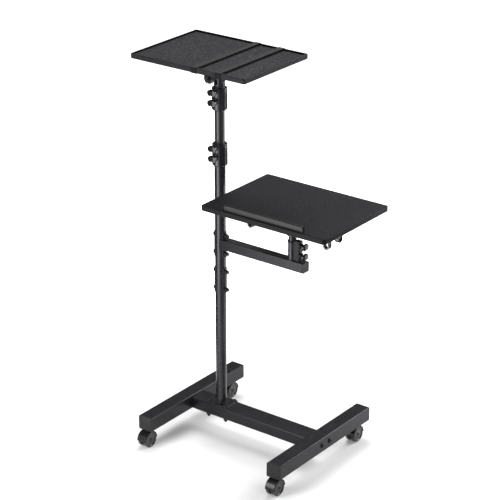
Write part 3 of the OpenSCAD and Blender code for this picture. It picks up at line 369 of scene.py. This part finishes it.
bead_tree, given, spread = row_tree("weld_ripples", frame_coat, bead_sizes)
drop = add_node(bead_tree, "GeometryNodeMeshIcoSphere", Subdivisions=2)
smooth = bead_tree.nodes.new("GeometryNodeSetShadeSmooth")
size = bead_tree.nodes.new("FunctionNodeRandomValue")
size.inputs[2].default_value, size.inputs[3].default_value = smallest_drop, largest_drop
for source, target in ((given.outputs["Bead"], drop.inputs["Radius"]),
                       (drop.outputs["Mesh"], smooth.inputs["Geometry"]),
                       (smooth.outputs["Geometry"], spread.inputs["Instance"]),
                       (given.outputs["Seed"], size.inputs["Seed"]),
                       (size.outputs[1], spread.inputs["Scale"])):
    bead_tree.links.new(source, target)

pole_radius = (pole_high.x - pole_low.x) / 2
arm_low, arm_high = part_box("arm_tube")
upright_low, upright_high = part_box("arm_upright")
upright_x = (upright_low.x + upright_high.x) / 2
upright_radius = (upright_high.x - upright_low.x) / 2
plates_low, plates_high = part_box("saddle_plates")
plates_half = (plates_high.y - plates_low.y) / 2 + plate_lap
arm_half = (arm_high.y - arm_low.y) / 2
cope = []
for step in range(-cope_steps, cope_steps + 1):
    off_y = step / cope_steps * (arm_half - cope_inset)
    around = pole_radius + (plate_stand if abs(off_y) < plates_half else pole_stand)
    cope.append((pole_x + math.sqrt(around ** 2 - off_y ** 2), pole_y + off_y))
side_x = pole_x + math.sqrt((pole_radius + pole_stand) ** 2 - arm_half ** 2) + side_back
joints = [(ring_path(pole_x, pole_y, pole_low.z + foot_stand, pole_radius + foot_stand), True),
          (ring_path(upright_x, pole_y, upright_low.z + upright_rise,
                     upright_radius + upright_stand), True)]
joints += [([(x, y, z) for x, y in cope], False)
           for z in (arm_high.z + arm_stand, arm_low.z - arm_stand)]
joints += [([(side_x, pole_y + side * (arm_half + side_out), z)
             for z in (arm_low.z + side_inset, arm_high.z - side_inset)], False)
           for side in (-1, 1)]
welds = grown("weld_beads", path_mesh("weld_joints", joints), bead_tree, "base_frame",
              bead_sizes)

# Clamp collars, tilt forks and the upright's clamp block: zinc castings with a
# seam rib, painted satin black, the block a little duller. The casting shows a
# soft waviness under the paint.
collar_coat = powder_coat("cast_collar_paint", (0.0080, 0.0080, 0.0086),
                          (0.0120, 0.0119, 0.0132), 0.24, 700.0, 0.5)
paint(collar_coat, "lower_collar", "upper_collar", "head_fork", "laptop_fork")
block_coat = powder_coat("cast_block_paint", (0.0060, 0.0059, 0.0068),
                         (0.0100, 0.0098, 0.0114), 0.34, 700.0, 0.16)
paint(block_coat, "clamp_block")

# Bushes, mast guide and the post's stop ring: turned black nylon, matt, with
# fine tool rings round their axis.
ring_nylon, tree, shader = plain_finish("ring_nylon", (0.009, 0.009, 0.0095), 0.42, 0.25)
where = add_node(tree, "ShaderNodeTexCoord")
tool_lines = add_node(tree, "ShaderNodeTexWave", bands_direction="Z", Scale=420.0,
                      Distortion=0.6)
tree.links.new(where.outputs["Object"], tool_lines.inputs["Vector"])
colour_between(tree, shader, grain(tree, 120.0), (0.0070, 0.0070, 0.0075),
               (0.0110, 0.0110, 0.0115))
relief(tree, shader, tool_lines.outputs["Fac"], 0.00006, 0.4)
paint(ring_nylon, "lower_collar_bush", "upper_collar_bush", "mast_guide", "post_ring")

# Mast: the inner tube that slides through the lower collar. The same coat,
# polished by the collar into faint upright streaks.


def drawn_lines(tree, scale, detail, roughness=0.5):
    """Noise stretched into lines by its own scale along each axis."""
    where = add_node(tree, "ShaderNodeTexCoord")
    stretch = add_node(tree, "ShaderNodeMapping", Scale=scale)
    noise = add_node(tree, "ShaderNodeTexNoise", Scale=1.0, Detail=detail,
                     Roughness=roughness)
    tree.links.new(where.outputs["Object"], stretch.inputs["Vector"])
    tree.links.new(stretch.outputs["Vector"], noise.inputs["Vector"])
    return noise.outputs["Fac"]


mast_coat, tree, shader = plain_finish("mast_coat", (0.010, 0.010, 0.011), 0.28, 0.5)
streak = drawn_lines(tree, (900.0, 900.0, 9.0), 4.0, 0.6)
colour_between(tree, shader, ramp(tree, streak, 0.45, 0.70), (0.0090, 0.0090, 0.0098),
               (0.0170, 0.0170, 0.0180))
gloss_between(tree, shader, streak, 0.3, 0.7, 0.25, 0.36)
relief(tree, shader, grain(tree, 1400.0, 2.0), 0.0001, 0.25)
paint(mast_coat, "mast_tube")

# Wing screws and tilt knobs: black phenolic plastic moulded round steel
# screws. The wing screws are glossy, with faint flow marks, and the knobs
# satin.
knob_gloss, tree, shader = plain_finish("moulded_gloss_black", (0.007, 0.007, 0.0078), 0.2, 0.26)
shader.inputs["Coat Weight"].default_value = 0.10
shader.inputs["Coat Roughness"].default_value = 0.08
colour_between(tree, shader, ramp(tree, grain(tree, 45.0, 2.0), 0.35, 0.65),
               (0.0065, 0.0065, 0.0070), (0.0120, 0.0120, 0.0128))
gloss_between(tree, shader, grain(tree, 160.0, 4.0), 0.35, 0.7, 0.15, 0.28)
relief(tree, shader, grain(tree, 260.0, 2.0), 0.00025, 0.12, 0.0009)
paint(knob_gloss, "lower_wing_screw_1", "lower_wing_screw_2", "upper_wing_screw_1",
      "upper_wing_screw_2", "arm_wing_screw_1", "arm_wing_screw_2")
knob_satin, tree, shader = plain_finish("knob_satin_black", (0.011, 0.011, 0.012), 0.32, 0.35)
colour_between(tree, shader, grain(tree, 60.0), (0.0090, 0.0090, 0.0096),
               (0.0150, 0.0150, 0.0160))
gloss_between(tree, shader, grain(tree, 110.0, 4.0), 0.3, 0.7, 0.28, 0.42)
relief(tree, shader, grain(tree, 2200.0, 2.0), 0.00008, 0.35, 0.0009)
paint(knob_satin, "head_tilt_knob", "laptop_tilt_knob")

# Trays: two fibreboard panels faced with a black laminate that is pressed with
# a fine pebble grain. A plastic edging runs round each, a raised rim on the
# upper one and a flush band on the lower, with a hairline joint at the face.
# The edging is coloured paler, partly its own plastic and partly a painted
# highlight on the lit rim and edges.
joint_black = (0.004, 0.004, 0.004)
joint_half, joint_fade = 0.0002, 0.0006
fleck_lift = 5.0


def tray_finish(name, node, edge, corner, face_pair, edging_and_highlight_pair):
    """Grained laminate inside the edging, and smoother plastic on it, painted paler as part
    highlight.
    """
    low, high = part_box(node)
    middle, half = (low + high) / 2, (high - low) / 2
    finish, tree, shader = plain_finish(name, face_pair[0], 0.45, 0.05)
    where = add_node(tree, "ShaderNodeTexCoord").outputs["Object"]
    flow = where
    for operation, value in (("SUBTRACT", (middle.x, middle.y, 0.0)), ("ABSOLUTE", None),
                             ("SUBTRACT", (half.x - corner, half.y - corner, 10.0)),
                             ("MAXIMUM", (0.0, 0.0, 0.0)), ("LENGTH", None)):
        step = add_node(tree, "ShaderNodeVectorMath", operation=operation)
        tree.links.new(flow, step.inputs[0])
        if value:
            step.inputs[1].default_value = value
        flow = step.outputs["Value" if operation == "LENGTH" else "Vector"]
    line = corner - edge
    band = ramp(tree, flow, line - joint_half, line + joint_half)
    off = add_node(tree, "ShaderNodeMath", operation="SUBTRACT")
    off.inputs[1].default_value = line
    tree.links.new(flow, off.inputs[0])
    side = add_node(tree, "ShaderNodeMath", operation="ABSOLUTE")
    tree.links.new(off.outputs[0], side.inputs[0])
    seam = ramp(tree, side.outputs[0], joint_half, joint_fade, 1.0, 0.0)

    tone = ramp(tree, grain(tree, 9.0, 5.0, 0.65), 0.3, 0.7)
    speck = ramp(tree, grain(tree, 340.0, 3.0, 0.6), 0.51, 0.62)
    fleck = tuple(c * fleck_lift for c in face_pair[1])
    face = blend_colour(tree, speck, blend_colour(tree, tone, *face_pair), fleck)
    # The edging's paler colour is part its plastic, part painted highlight.
    rim = blend_colour(tree, speck, *edging_and_highlight_pair)
    colour_between(tree, shader, seam, blend_colour(tree, band, face, rim), joint_black)
    gloss_between(tree, shader, band, 0.0, 1.0, 0.48, 0.36)

    pebble = add_node(tree, "ShaderNodeTexVoronoi", Scale=620.0, Randomness=1.0)
    tree.links.new(where, pebble.inputs["Vector"])
    bumps = combine(tree, "MULTIPLY", ramp(tree, pebble.outputs["Distance"], 0.0, 0.9, 1.0, 0.0),
                    ramp(tree, band, 0.0, 1.0, 1.0, 0.12))
    relief(tree, shader, combine(tree, "SUBTRACT", bumps, seam), 0.0003, 0.8)
    return finish


top_finish = tray_finish("top_tray_laminate", "top_tray", edge=0.0055, corner=0.0085,
                         face_pair=((0.0075, 0.0073, 0.0083), (0.0125, 0.0123, 0.0138)),
                         edging_and_highlight_pair=((0.018, 0.0178, 0.0198), (0.042, 0.0415, 0.0465)))
paint(top_finish, "top_tray")
laptop_finish = tray_finish("laptop_tray_laminate", "laptop_tray", edge=0.003, corner=0.009,
                            face_pair=((0.0060, 0.0058, 0.0067), (0.0095, 0.0093, 0.0105)),
                            edging_and_highlight_pair=((0.0095, 0.0094, 0.0106), (0.022, 0.0217, 0.0245)))
paint(laptop_finish, "laptop_tray")

# Straps: two black elastic bands round the upper tray, woven with rubber
# threads that stand up as ribs along them, and sewn into loops by a lap joint
# under the tray. The bands run from rim to rim and round over the edges.
strap_low, strap_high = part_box("tray_straps")
tray_low, tray_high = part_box("top_tray")
strap_width, strap_thick = 0.020, 0.0011
strap_gap, strap_bend = 0.0003, 0.0028
bend_steps, span_steps = 8, 40
sag_start, sag_run = 0.004, 0.092
strap_sags = (0.003, 0.0)
lap_start, lap_end = -0.120, -0.088
ribs_per_metre, picks_per_metre = 700.0, 900.0


def strap_path(sag):
    """Points round the tray and their outward normals, in Y and Z."""
    y0, y1 = tray_low.y - strap_gap, tray_high.y + strap_gap
    z0, z1 = tray_low.z - strap_gap, tray_high.z + strap_gap
    near, far = y0 + strap_bend, y1 - strap_bend
    under, over = z0 + strap_bend, z1 - strap_bend
    corners = [((near, over), 90), ((near, under), 180), ((far, under), 270), ((far, over), 360)]
    points = []
    for number, ((y, z), start) in enumerate(corners):
        for step in range(bend_steps + 1):
            turn = math.radians(start + step * 90 / bend_steps)
            points.append((y + strap_bend * math.cos(turn), z + strap_bend * math.sin(turn),
                           math.cos(turn), math.sin(turn)))
        begin = points[-1][0]
        for share in (step / span_steps for step in range(1, span_steps)):
            if number == 1:
                y_here = begin + (far - begin) * share
                edge = min(y_here - begin, far - y_here)
                sink = sag * min(1.0, max(0.0, edge - sag_start) / sag_run)
                points.append((y_here, z0 - sink, 0.0, -1.0))
            elif number == 3:
                points.append((begin + (near - begin) * share, z1, 0.0, 1.0))
    return points


def strap_mesh(name, straps, laps):
    """Bands with rolled selvedges; the UV runs along and across, in metres."""
    mesh = bpy.data.meshes.new(name)
    work = bmesh.new()
    cloth = work.loops.layers.uv.new("band")
    rolled = [(0.5, 0.30), (0.5, 0.72), (0.47, 0.98), (0.42, 1.0), (0.25, 0.94)]
    inner = [(0.47, 0.04), (0.42, 0.0)]
    across = ([(-a, h) for a, h in rolled] + [(0.0, 0.92)] + rolled[::-1]
              + inner + [(-a, h) for a, h in inner[::-1]])
    bands = [(*strap, True, 0.0) for strap in straps] + [(*lap, False, strap_thick)
                                                         for lap in laps]
    for x, path, closed, lift in bands:
        run, rings = 0.0, []
        for number, (y, z, ny, nz) in enumerate(path):
            if number:
                run += math.hypot(y - path[number - 1][0], z - path[number - 1][1])
            ring = [work.verts.new((x + a * strap_width, y + ny * (lift + h * strap_thick),
                                    z + nz * (lift + h * strap_thick))) for a, h in across]
            rings.append((run, ring))
        pairs = list(zip(rings, rings[1:]))
        if closed:
            first, last = rings[0], rings[-1]
            gap = (first[1][0].co - last[1][0].co).length
            pairs.append((last, (last[0] + gap, first[1])))
        for (u0, ring), (u1, following) in pairs:
            for i in range(len(across)):
                j = (i + 1) % len(across)
                quad = work.faces.new((ring[i], ring[j], following[j], following[i]))
                quad.smooth = True
                for loop, u, k in zip(quad.loops, (u0, u0, u1, u1), (i, j, j, i)):
                    loop[cloth].uv = (u, across[k][0] * strap_width)
        if not closed:
            work.faces.new(rings[0][1])
            work.faces.new(list(reversed(rings[-1][1])))
    bmesh.ops.recalc_face_normals(work, faces=work.faces)
    work.to_mesh(mesh)
    work.free()
    return mesh


def wave(tree, source, cycles):
    """A sine of a length in metres, from 0 to 1."""
    turn = add_node(tree, "ShaderNodeMath", operation="MULTIPLY")
    turn.inputs[1].default_value = 2 * math.pi * cycles
    tree.links.new(source, turn.inputs[0])
    sine = add_node(tree, "ShaderNodeMath", operation="SINE")
    tree.links.new(turn.outputs[0], sine.inputs[0])
    return ramp(tree, sine.outputs[0], -1.0, 1.0)


strap_xs = (strap_low.x + strap_width / 2, strap_high.x - strap_width / 2)
loops = [(x, strap_path(sag)) for x, sag in zip(strap_xs, strap_sags)]
laps = [(x, [p for p in path if p[3] == -1.0 and lap_start < p[0] - pole_y < lap_end])
        for x, path in loops]
straps = bpy.data.objects.new("tray_straps_woven", strap_mesh("tray_straps_woven", loops, laps))
scene.collection.objects.link(straps)
webbing, tree, shader = plain_finish("elastic_webbing", (0.007, 0.007, 0.007), 0.7, 0.15)
shader.inputs["Sheen Weight"].default_value = 0.04
shader.inputs["Sheen Roughness"].default_value = 0.4
along = add_node(tree, "ShaderNodeUVMap", uv_map="band")
split = add_node(tree, "ShaderNodeSeparateXYZ")
tree.links.new(along.outputs["UV"], split.inputs["Vector"])
rib = wave(tree, split.outputs["Y"], ribs_per_metre)
weave = add_node(tree, "ShaderNodeMath", operation="MULTIPLY_ADD")
weave.inputs[1].default_value = 0.4
tree.links.new(wave(tree, split.outputs["X"], picks_per_metre), weave.inputs[0])
tree.links.new(rib, weave.inputs[2])
# The rib wave also colours the band: the grooves between ribs are painted darker as painted
# shade, the crests paler.
colour_between(tree, shader, rib, (0.003, 0.003, 0.003), (0.011, 0.011, 0.0115))
relief(tree, shader, weave.outputs[0], 0.0003, 0.8)
straps.data.materials.append(webbing)
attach(straps, "projector_tray")
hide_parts("tray_straps")

# Stitches: three rows of polyester thread across each lap joint, laid by a
# Geometry Nodes tree along their sewing lines.
stitch_sizes = {"Pitch": 0.0028, "Length": 0.0019, "Thread": 0.0003}
row_shares = (0.15, 0.5, 0.85)
row_half, thread_sink = 0.0085, 0.0001
thread_black, tree, shader = plain_finish("thread_black", (0.03, 0.03, 0.031), 0.6, 0.35)
colour_between(tree, shader, grain(tree, 900.0), (0.022, 0.022, 0.023), (0.045, 0.045, 0.047))
stitch_tree, given, spread = row_tree("sewn_rows", thread_black, stitch_sizes)
dash = add_node(stitch_tree, "GeometryNodeMeshCylinder", Vertices=8)
for source, target in ((given.outputs["Thread"], dash.inputs["Radius"]),
                       (given.outputs["Length"], dash.inputs["Depth"]),
                       (dash.outputs["Mesh"], spread.inputs["Instance"])):
    stitch_tree.links.new(source, target)
face_along(stitch_tree, spread)
rows = []
for x, under in laps:
    for share in row_shares:
        y, z = [under[0][k] + (under[-1][k] - under[0][k]) * share for k in (0, 1)]
        z -= 2 * strap_thick - thread_sink
        rows.append(([(x - row_half, y, z), (x + row_half, y, z)], False))
stitches = grown("strap_stitches", path_mesh("strap_rows", rows), stitch_tree,
                 "projector_tray", stitch_sizes)

# Stop bar: a moulded rail screwed into the rebate along the lower tray's
# front edge. Matt plastic with drawn lines along it.
bar_plastic, tree, shader = plain_finish("bar_plastic", (0.014, 0.014, 0.015), 0.38, 0.3)
bar_lines = drawn_lines(tree, (8.0, 1500.0, 1500.0), 3.0)
colour_between(tree, shader, grain(tree, 20.0), (0.0070, 0.0070, 0.0076),
               (0.0120, 0.0120, 0.0130))
gloss_between(tree, shader, bar_lines, 0.3, 0.7, 0.36, 0.50)
relief(tree, shader, bar_lines, 0.00008, 0.4, 0.0006)
paint(bar_plastic, "stop_bar")

# Hooks: bent flat steel under the lower tray for cables, blackened, their
# tips and bends dipped in soft vinyl that is glossier than the flange.
dip_height, dip_fade = 0.0135, 0.0007
hook_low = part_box("tray_hooks")[0]
hook_black, tree, shader = plain_finish("dipped_hook", (0.012, 0.012, 0.0125), 0.3, 0.5)
where = add_node(tree, "ShaderNodeTexCoord")
split = add_node(tree, "ShaderNodeSeparateXYZ")
tree.links.new(where.outputs["Object"], split.inputs["Vector"])
dipped = ramp(tree, split.outputs["Z"], hook_low.z + dip_height,
              hook_low.z + dip_height + dip_fade, 1.0, 0.0)
colour_between(tree, shader, dipped, (0.020, 0.020, 0.021), (0.007, 0.007, 0.0073))
gloss_between(tree, shader, dipped, 0.0, 1.0, 0.40, 0.20)
relief(tree, shader, grain(tree, 900.0, 2.0), 0.0001, 0.25, 0.0007)
paint(hook_black, "tray_hooks")

# Casters: twin-wheel swivel casters. The bodies are glossy black nylon with a
# faint moulding haze, on zinc-plated stems and axles.
caster_gloss, tree, shader = plain_finish("caster_gloss", (0.008, 0.008, 0.0088), 0.18, 0.24)
colour_between(tree, shader, ramp(tree, grain(tree, 70.0), 0.35, 0.65),
               (0.0065, 0.0065, 0.0070), (0.0110, 0.0110, 0.0118))
gloss_between(tree, shader, grain(tree, 210.0, 4.0), 0.35, 0.7, 0.13, 0.26)
relief(tree, shader, grain(tree, 900.0, 2.0), 0.0001, 0.2, 0.0009)
zinc, tree, shader = plain_finish("zinc_plate", (0.42, 0.42, 0.43), 0.35, 0.5)
shader.inputs["Metallic"].default_value = 1.0
colour_between(tree, shader, grain(tree, 160.0, 4.0), (0.33, 0.33, 0.345), (0.48, 0.48, 0.50))
gloss_between(tree, shader, grain(tree, 300.0, 3.0), 0.3, 0.7, 0.28, 0.45)
paint(zinc, "caster_stems")
corners = ("lf", "rf", "lr", "rr")
for corner in corners:
    paint(caster_gloss, "caster_body_" + corner)
    paint(zinc, "caster_axle_" + corner)

# Caster wheels: a hard nylon disc with a softer, duller tread moulded round
# it. Dust greys the tread where it rolls, and a push-on cap covers the axle.
tread_start, tread_full = 0.855, 0.865
cap_radius, cap_height, cap_inset = 0.0052, 0.0012, 0.0002


def wheel_finish(name, centre_y, centre_z, radius):
    """Glossy disc inside, dull scuffed tread outside a ring joint."""
    finish, tree, shader = plain_finish(name, (0.010, 0.010, 0.0108), 0.3, 0.6)
    where = add_node(tree, "ShaderNodeTexCoord")
    centre = add_node(tree, "ShaderNodeMapping", Location=(0.0, -centre_y, -centre_z),
                      Scale=(0.0, 1.0, 1.0))
    reach = add_node(tree, "ShaderNodeVectorMath", operation="LENGTH")
    tree.links.new(where.outputs["Object"], centre.inputs["Vector"])
    tree.links.new(centre.outputs["Vector"], reach.inputs[0])
    tread = ramp(tree, reach.outputs["Value"], radius * tread_start, radius * tread_full)
    scuff = ramp(tree, grain(tree, 240.0, 5.0, 0.7), 0.42, 0.66)
    disc = blend_colour(tree, grain(tree, 60.0), (0.0090, 0.0090, 0.0095),
                        (0.0160, 0.0160, 0.0170))
    tyre = blend_colour(tree, scuff, (0.0160, 0.0160, 0.0168), (0.040, 0.040, 0.041))
    colour_between(tree, shader, tread, disc, tyre)
    gloss_between(tree, shader, tread, 0.0, 1.0, 0.24, 0.52)
    relief(tree, shader, grain(tree, 1500.0, 3.0), 0.00012, 0.3, 0.0006)
    return finish


def turned_cap(name, x, y, z, side, steps=40):
    """A low domed cap about the axle, on the wheel's outer face."""
    profile = [(1.0, 0.0), (1.0, 0.35), (0.93, 0.62), (0.75, 0.84), (0.45, 0.96)]
    work = bmesh.new()
    rings = []
    for share, rise in profile:
        radius, lift = share * cap_radius, rise * cap_height
        rings.append([work.verts.new((x + side * lift, across, along))
                      for across, along, _ in ring_path(y, z, 0.0, radius, steps)])
    crown = work.verts.new((x + side * cap_height, y, z))
    work.faces.new(rings[0])
    for i in range(steps):
        j = (i + 1) % steps
        for ring, following in zip(rings, rings[1:]):
            work.faces.new((ring[i], ring[j], following[j], following[i])).smooth = True
        work.faces.new((rings[-1][i], rings[-1][j], crown)).smooth = True
    bmesh.ops.recalc_face_normals(work, faces=work.faces)
    mesh = bpy.data.meshes.new(name)
    work.to_mesh(mesh)
    work.free()
    cap = bpy.data.objects.new(name, mesh)
    scene.collection.objects.link(cap)
    return cap


for corner in corners:
    low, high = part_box(f"wheel_{corner}_left")
    middle = (low + high) / 2
    finish = wheel_finish("wheel_finish_" + corner, middle.y, middle.z, (high.z - low.z) / 2)
    paint(finish, f"wheel_{corner}_left", f"wheel_{corner}_right")
    for hand, side in (("left", -1), ("right", 1)):
        low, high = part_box(f"wheel_{corner}_{hand}")
        outer = (high.x if side > 0 else low.x) - side * cap_inset
        cap = turned_cap(f"axle_cap_{corner}_{hand}", outer, middle.y, middle.z, side)
        cap.data.materials.append(caster_gloss)
        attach(cap, f"wheel_{corner}_{hand}")

# Floor: a plain white sweep. The camera and reflections see it lifted to
# white away from the cart; towards the cart the lift fades out, a painted
# shade round it, and the cart's soft shadow stays on it.
floor_half = 14
lift_start, lift_full, painted_shade_lift = 0.30, 1.1, 0.03


def seen_directly(tree):
    """1 for a ray from the camera, from a gloss or through glass, else 0."""
    path = add_node(tree, "ShaderNodeLightPath")
    seen = combine(tree, "MAXIMUM", path.outputs["Is Camera Ray"], path.outputs["Is Glossy Ray"])
    return combine(tree, "MAXIMUM", seen, path.outputs["Is Transmission Ray"])


floor_mesh = bpy.data.meshes.new("studio_floor")
floor_mesh.from_pydata([(x * floor_half, y * floor_half, 0)
                        for x, y in ((-1, -1), (1, -1), (1, 1), (-1, 1))], [], [(0, 1, 2, 3)])
floor = bpy.data.objects.new("studio_floor", floor_mesh)
scene.collection.objects.link(floor)
paper, tree, shader = plain_finish("floor_paper", (0.80, 0.80, 0.80), 0.9, 0.1)
where = add_node(tree, "ShaderNodeTexCoord")
reach = add_node(tree, "ShaderNodeVectorMath", operation="LENGTH")
tree.links.new(where.outputs["Object"], reach.inputs[0])
# Less lift towards the cart: a painted shade round it.
lift = ramp(tree, reach.outputs["Value"], lift_start, lift_full, painted_shade_lift, 1.0)
shader.inputs["Emission Color"].default_value = (1, 1, 1, 1)
tree.links.new(combine(tree, "MULTIPLY", lift, seen_directly(tree)),
               shader.inputs["Emission Strength"])
floor_mesh.materials.append(paper)

# Flags: two curved grey cards to the right of the camera and behind the cart.
# Only reflections see them, and they keep the coat's shaded sides dark.
card_radius, card_height, card_steps = 0.66, 1.9, 24
card_grey, tree, shader = plain_finish("card_grey", (0.02, 0.02, 0.02), 1.0, 0.0)
shader.inputs["Emission Color"].default_value = (1, 1, 1, 1)
shader.inputs["Emission Strength"].default_value = 0.12
for name, start, end in (("flag_right", -72, 34), ("flag_back", 86, 228)):
    points = []
    for step in range(card_steps + 1):
        turn = math.radians(start + (end - start) * step / card_steps)
        points += [(card_radius * math.cos(turn), card_radius * math.sin(turn), z)
                   for z in (0.0, card_height)]
    mesh = bpy.data.meshes.new(name)
    mesh.from_pydata(points, [], [(2 * i, 2 * i + 2, 2 * i + 3, 2 * i + 1)
                                  for i in range(card_steps)])
    mesh.materials.append(card_grey)
    card = bpy.data.objects.new(name, mesh)
    scene.collection.objects.link(card)
    card.visible_camera = card.visible_diffuse = card.visible_shadow = False
    card.visible_transmission = False

# Light: a white studio. Soft boxes on the right and behind give the feet, the
# arm and the edges their paler sides, a weaker one at the left front lifts the
# near faces, one above lays the shadow, and a strip draws the pole's bright line.
open_light, white_light = 0.38, 1.0
base_aim, foot_aim, mid_pole = (0, 0, 0.5), (0, 0, 0.2), 0.72


def soft_box(name, place, target, width, height, power):
    """A rectangular lamp at a place, turned to a target."""
    lamp = bpy.data.lights.new(name, "AREA")
    lamp.shape = "RECTANGLE"
    lamp.size, lamp.size_y = width, height
    lamp.energy = power
    box = bpy.data.objects.new(name, lamp)
    scene.collection.objects.link(box)
    turn = (Vector(place) - Vector(target)).normalized().to_track_quat("Z", "Y")
    box.matrix_world = Matrix.Translation(place) @ turn.to_matrix().to_4x4()
    return box


soft_box("right_box", (3.0, -0.6, 1.0), base_aim, width=1.6, height=1.8, power=35.0)
soft_box("rim_box", (1.3, 2.4, 1.9), base_aim, width=1.9, height=1.1, power=80.0)
strip = soft_box("strip_box", (pole_x - 0.24, pole_y - 1.22, mid_pole),
                 (pole_x, pole_y, mid_pole), width=0.60, height=1.44, power=14.0)
strip.visible_camera = False
soft_box("left_box", (-1.4, -2.8, 1.6), base_aim, width=1.2, height=1.6, power=22.0)
soft_box("top_box", (-0.9, 1.2, 2.9), foot_aim, width=1.4, height=1.4, power=62.0)
world = bpy.data.worlds.new("studio_air")
world.use_nodes = True
scene.world = world
tree = world.node_tree
air = tree.nodes["Background"]
air.inputs["Color"].default_value = (1, 1, 1, 1)
tree.links.new(ramp(tree, seen_directly(tree), 0.0, 1.0, open_light, white_light),
               air.inputs["Strength"])

scene.view_settings.view_transform = "Standard"
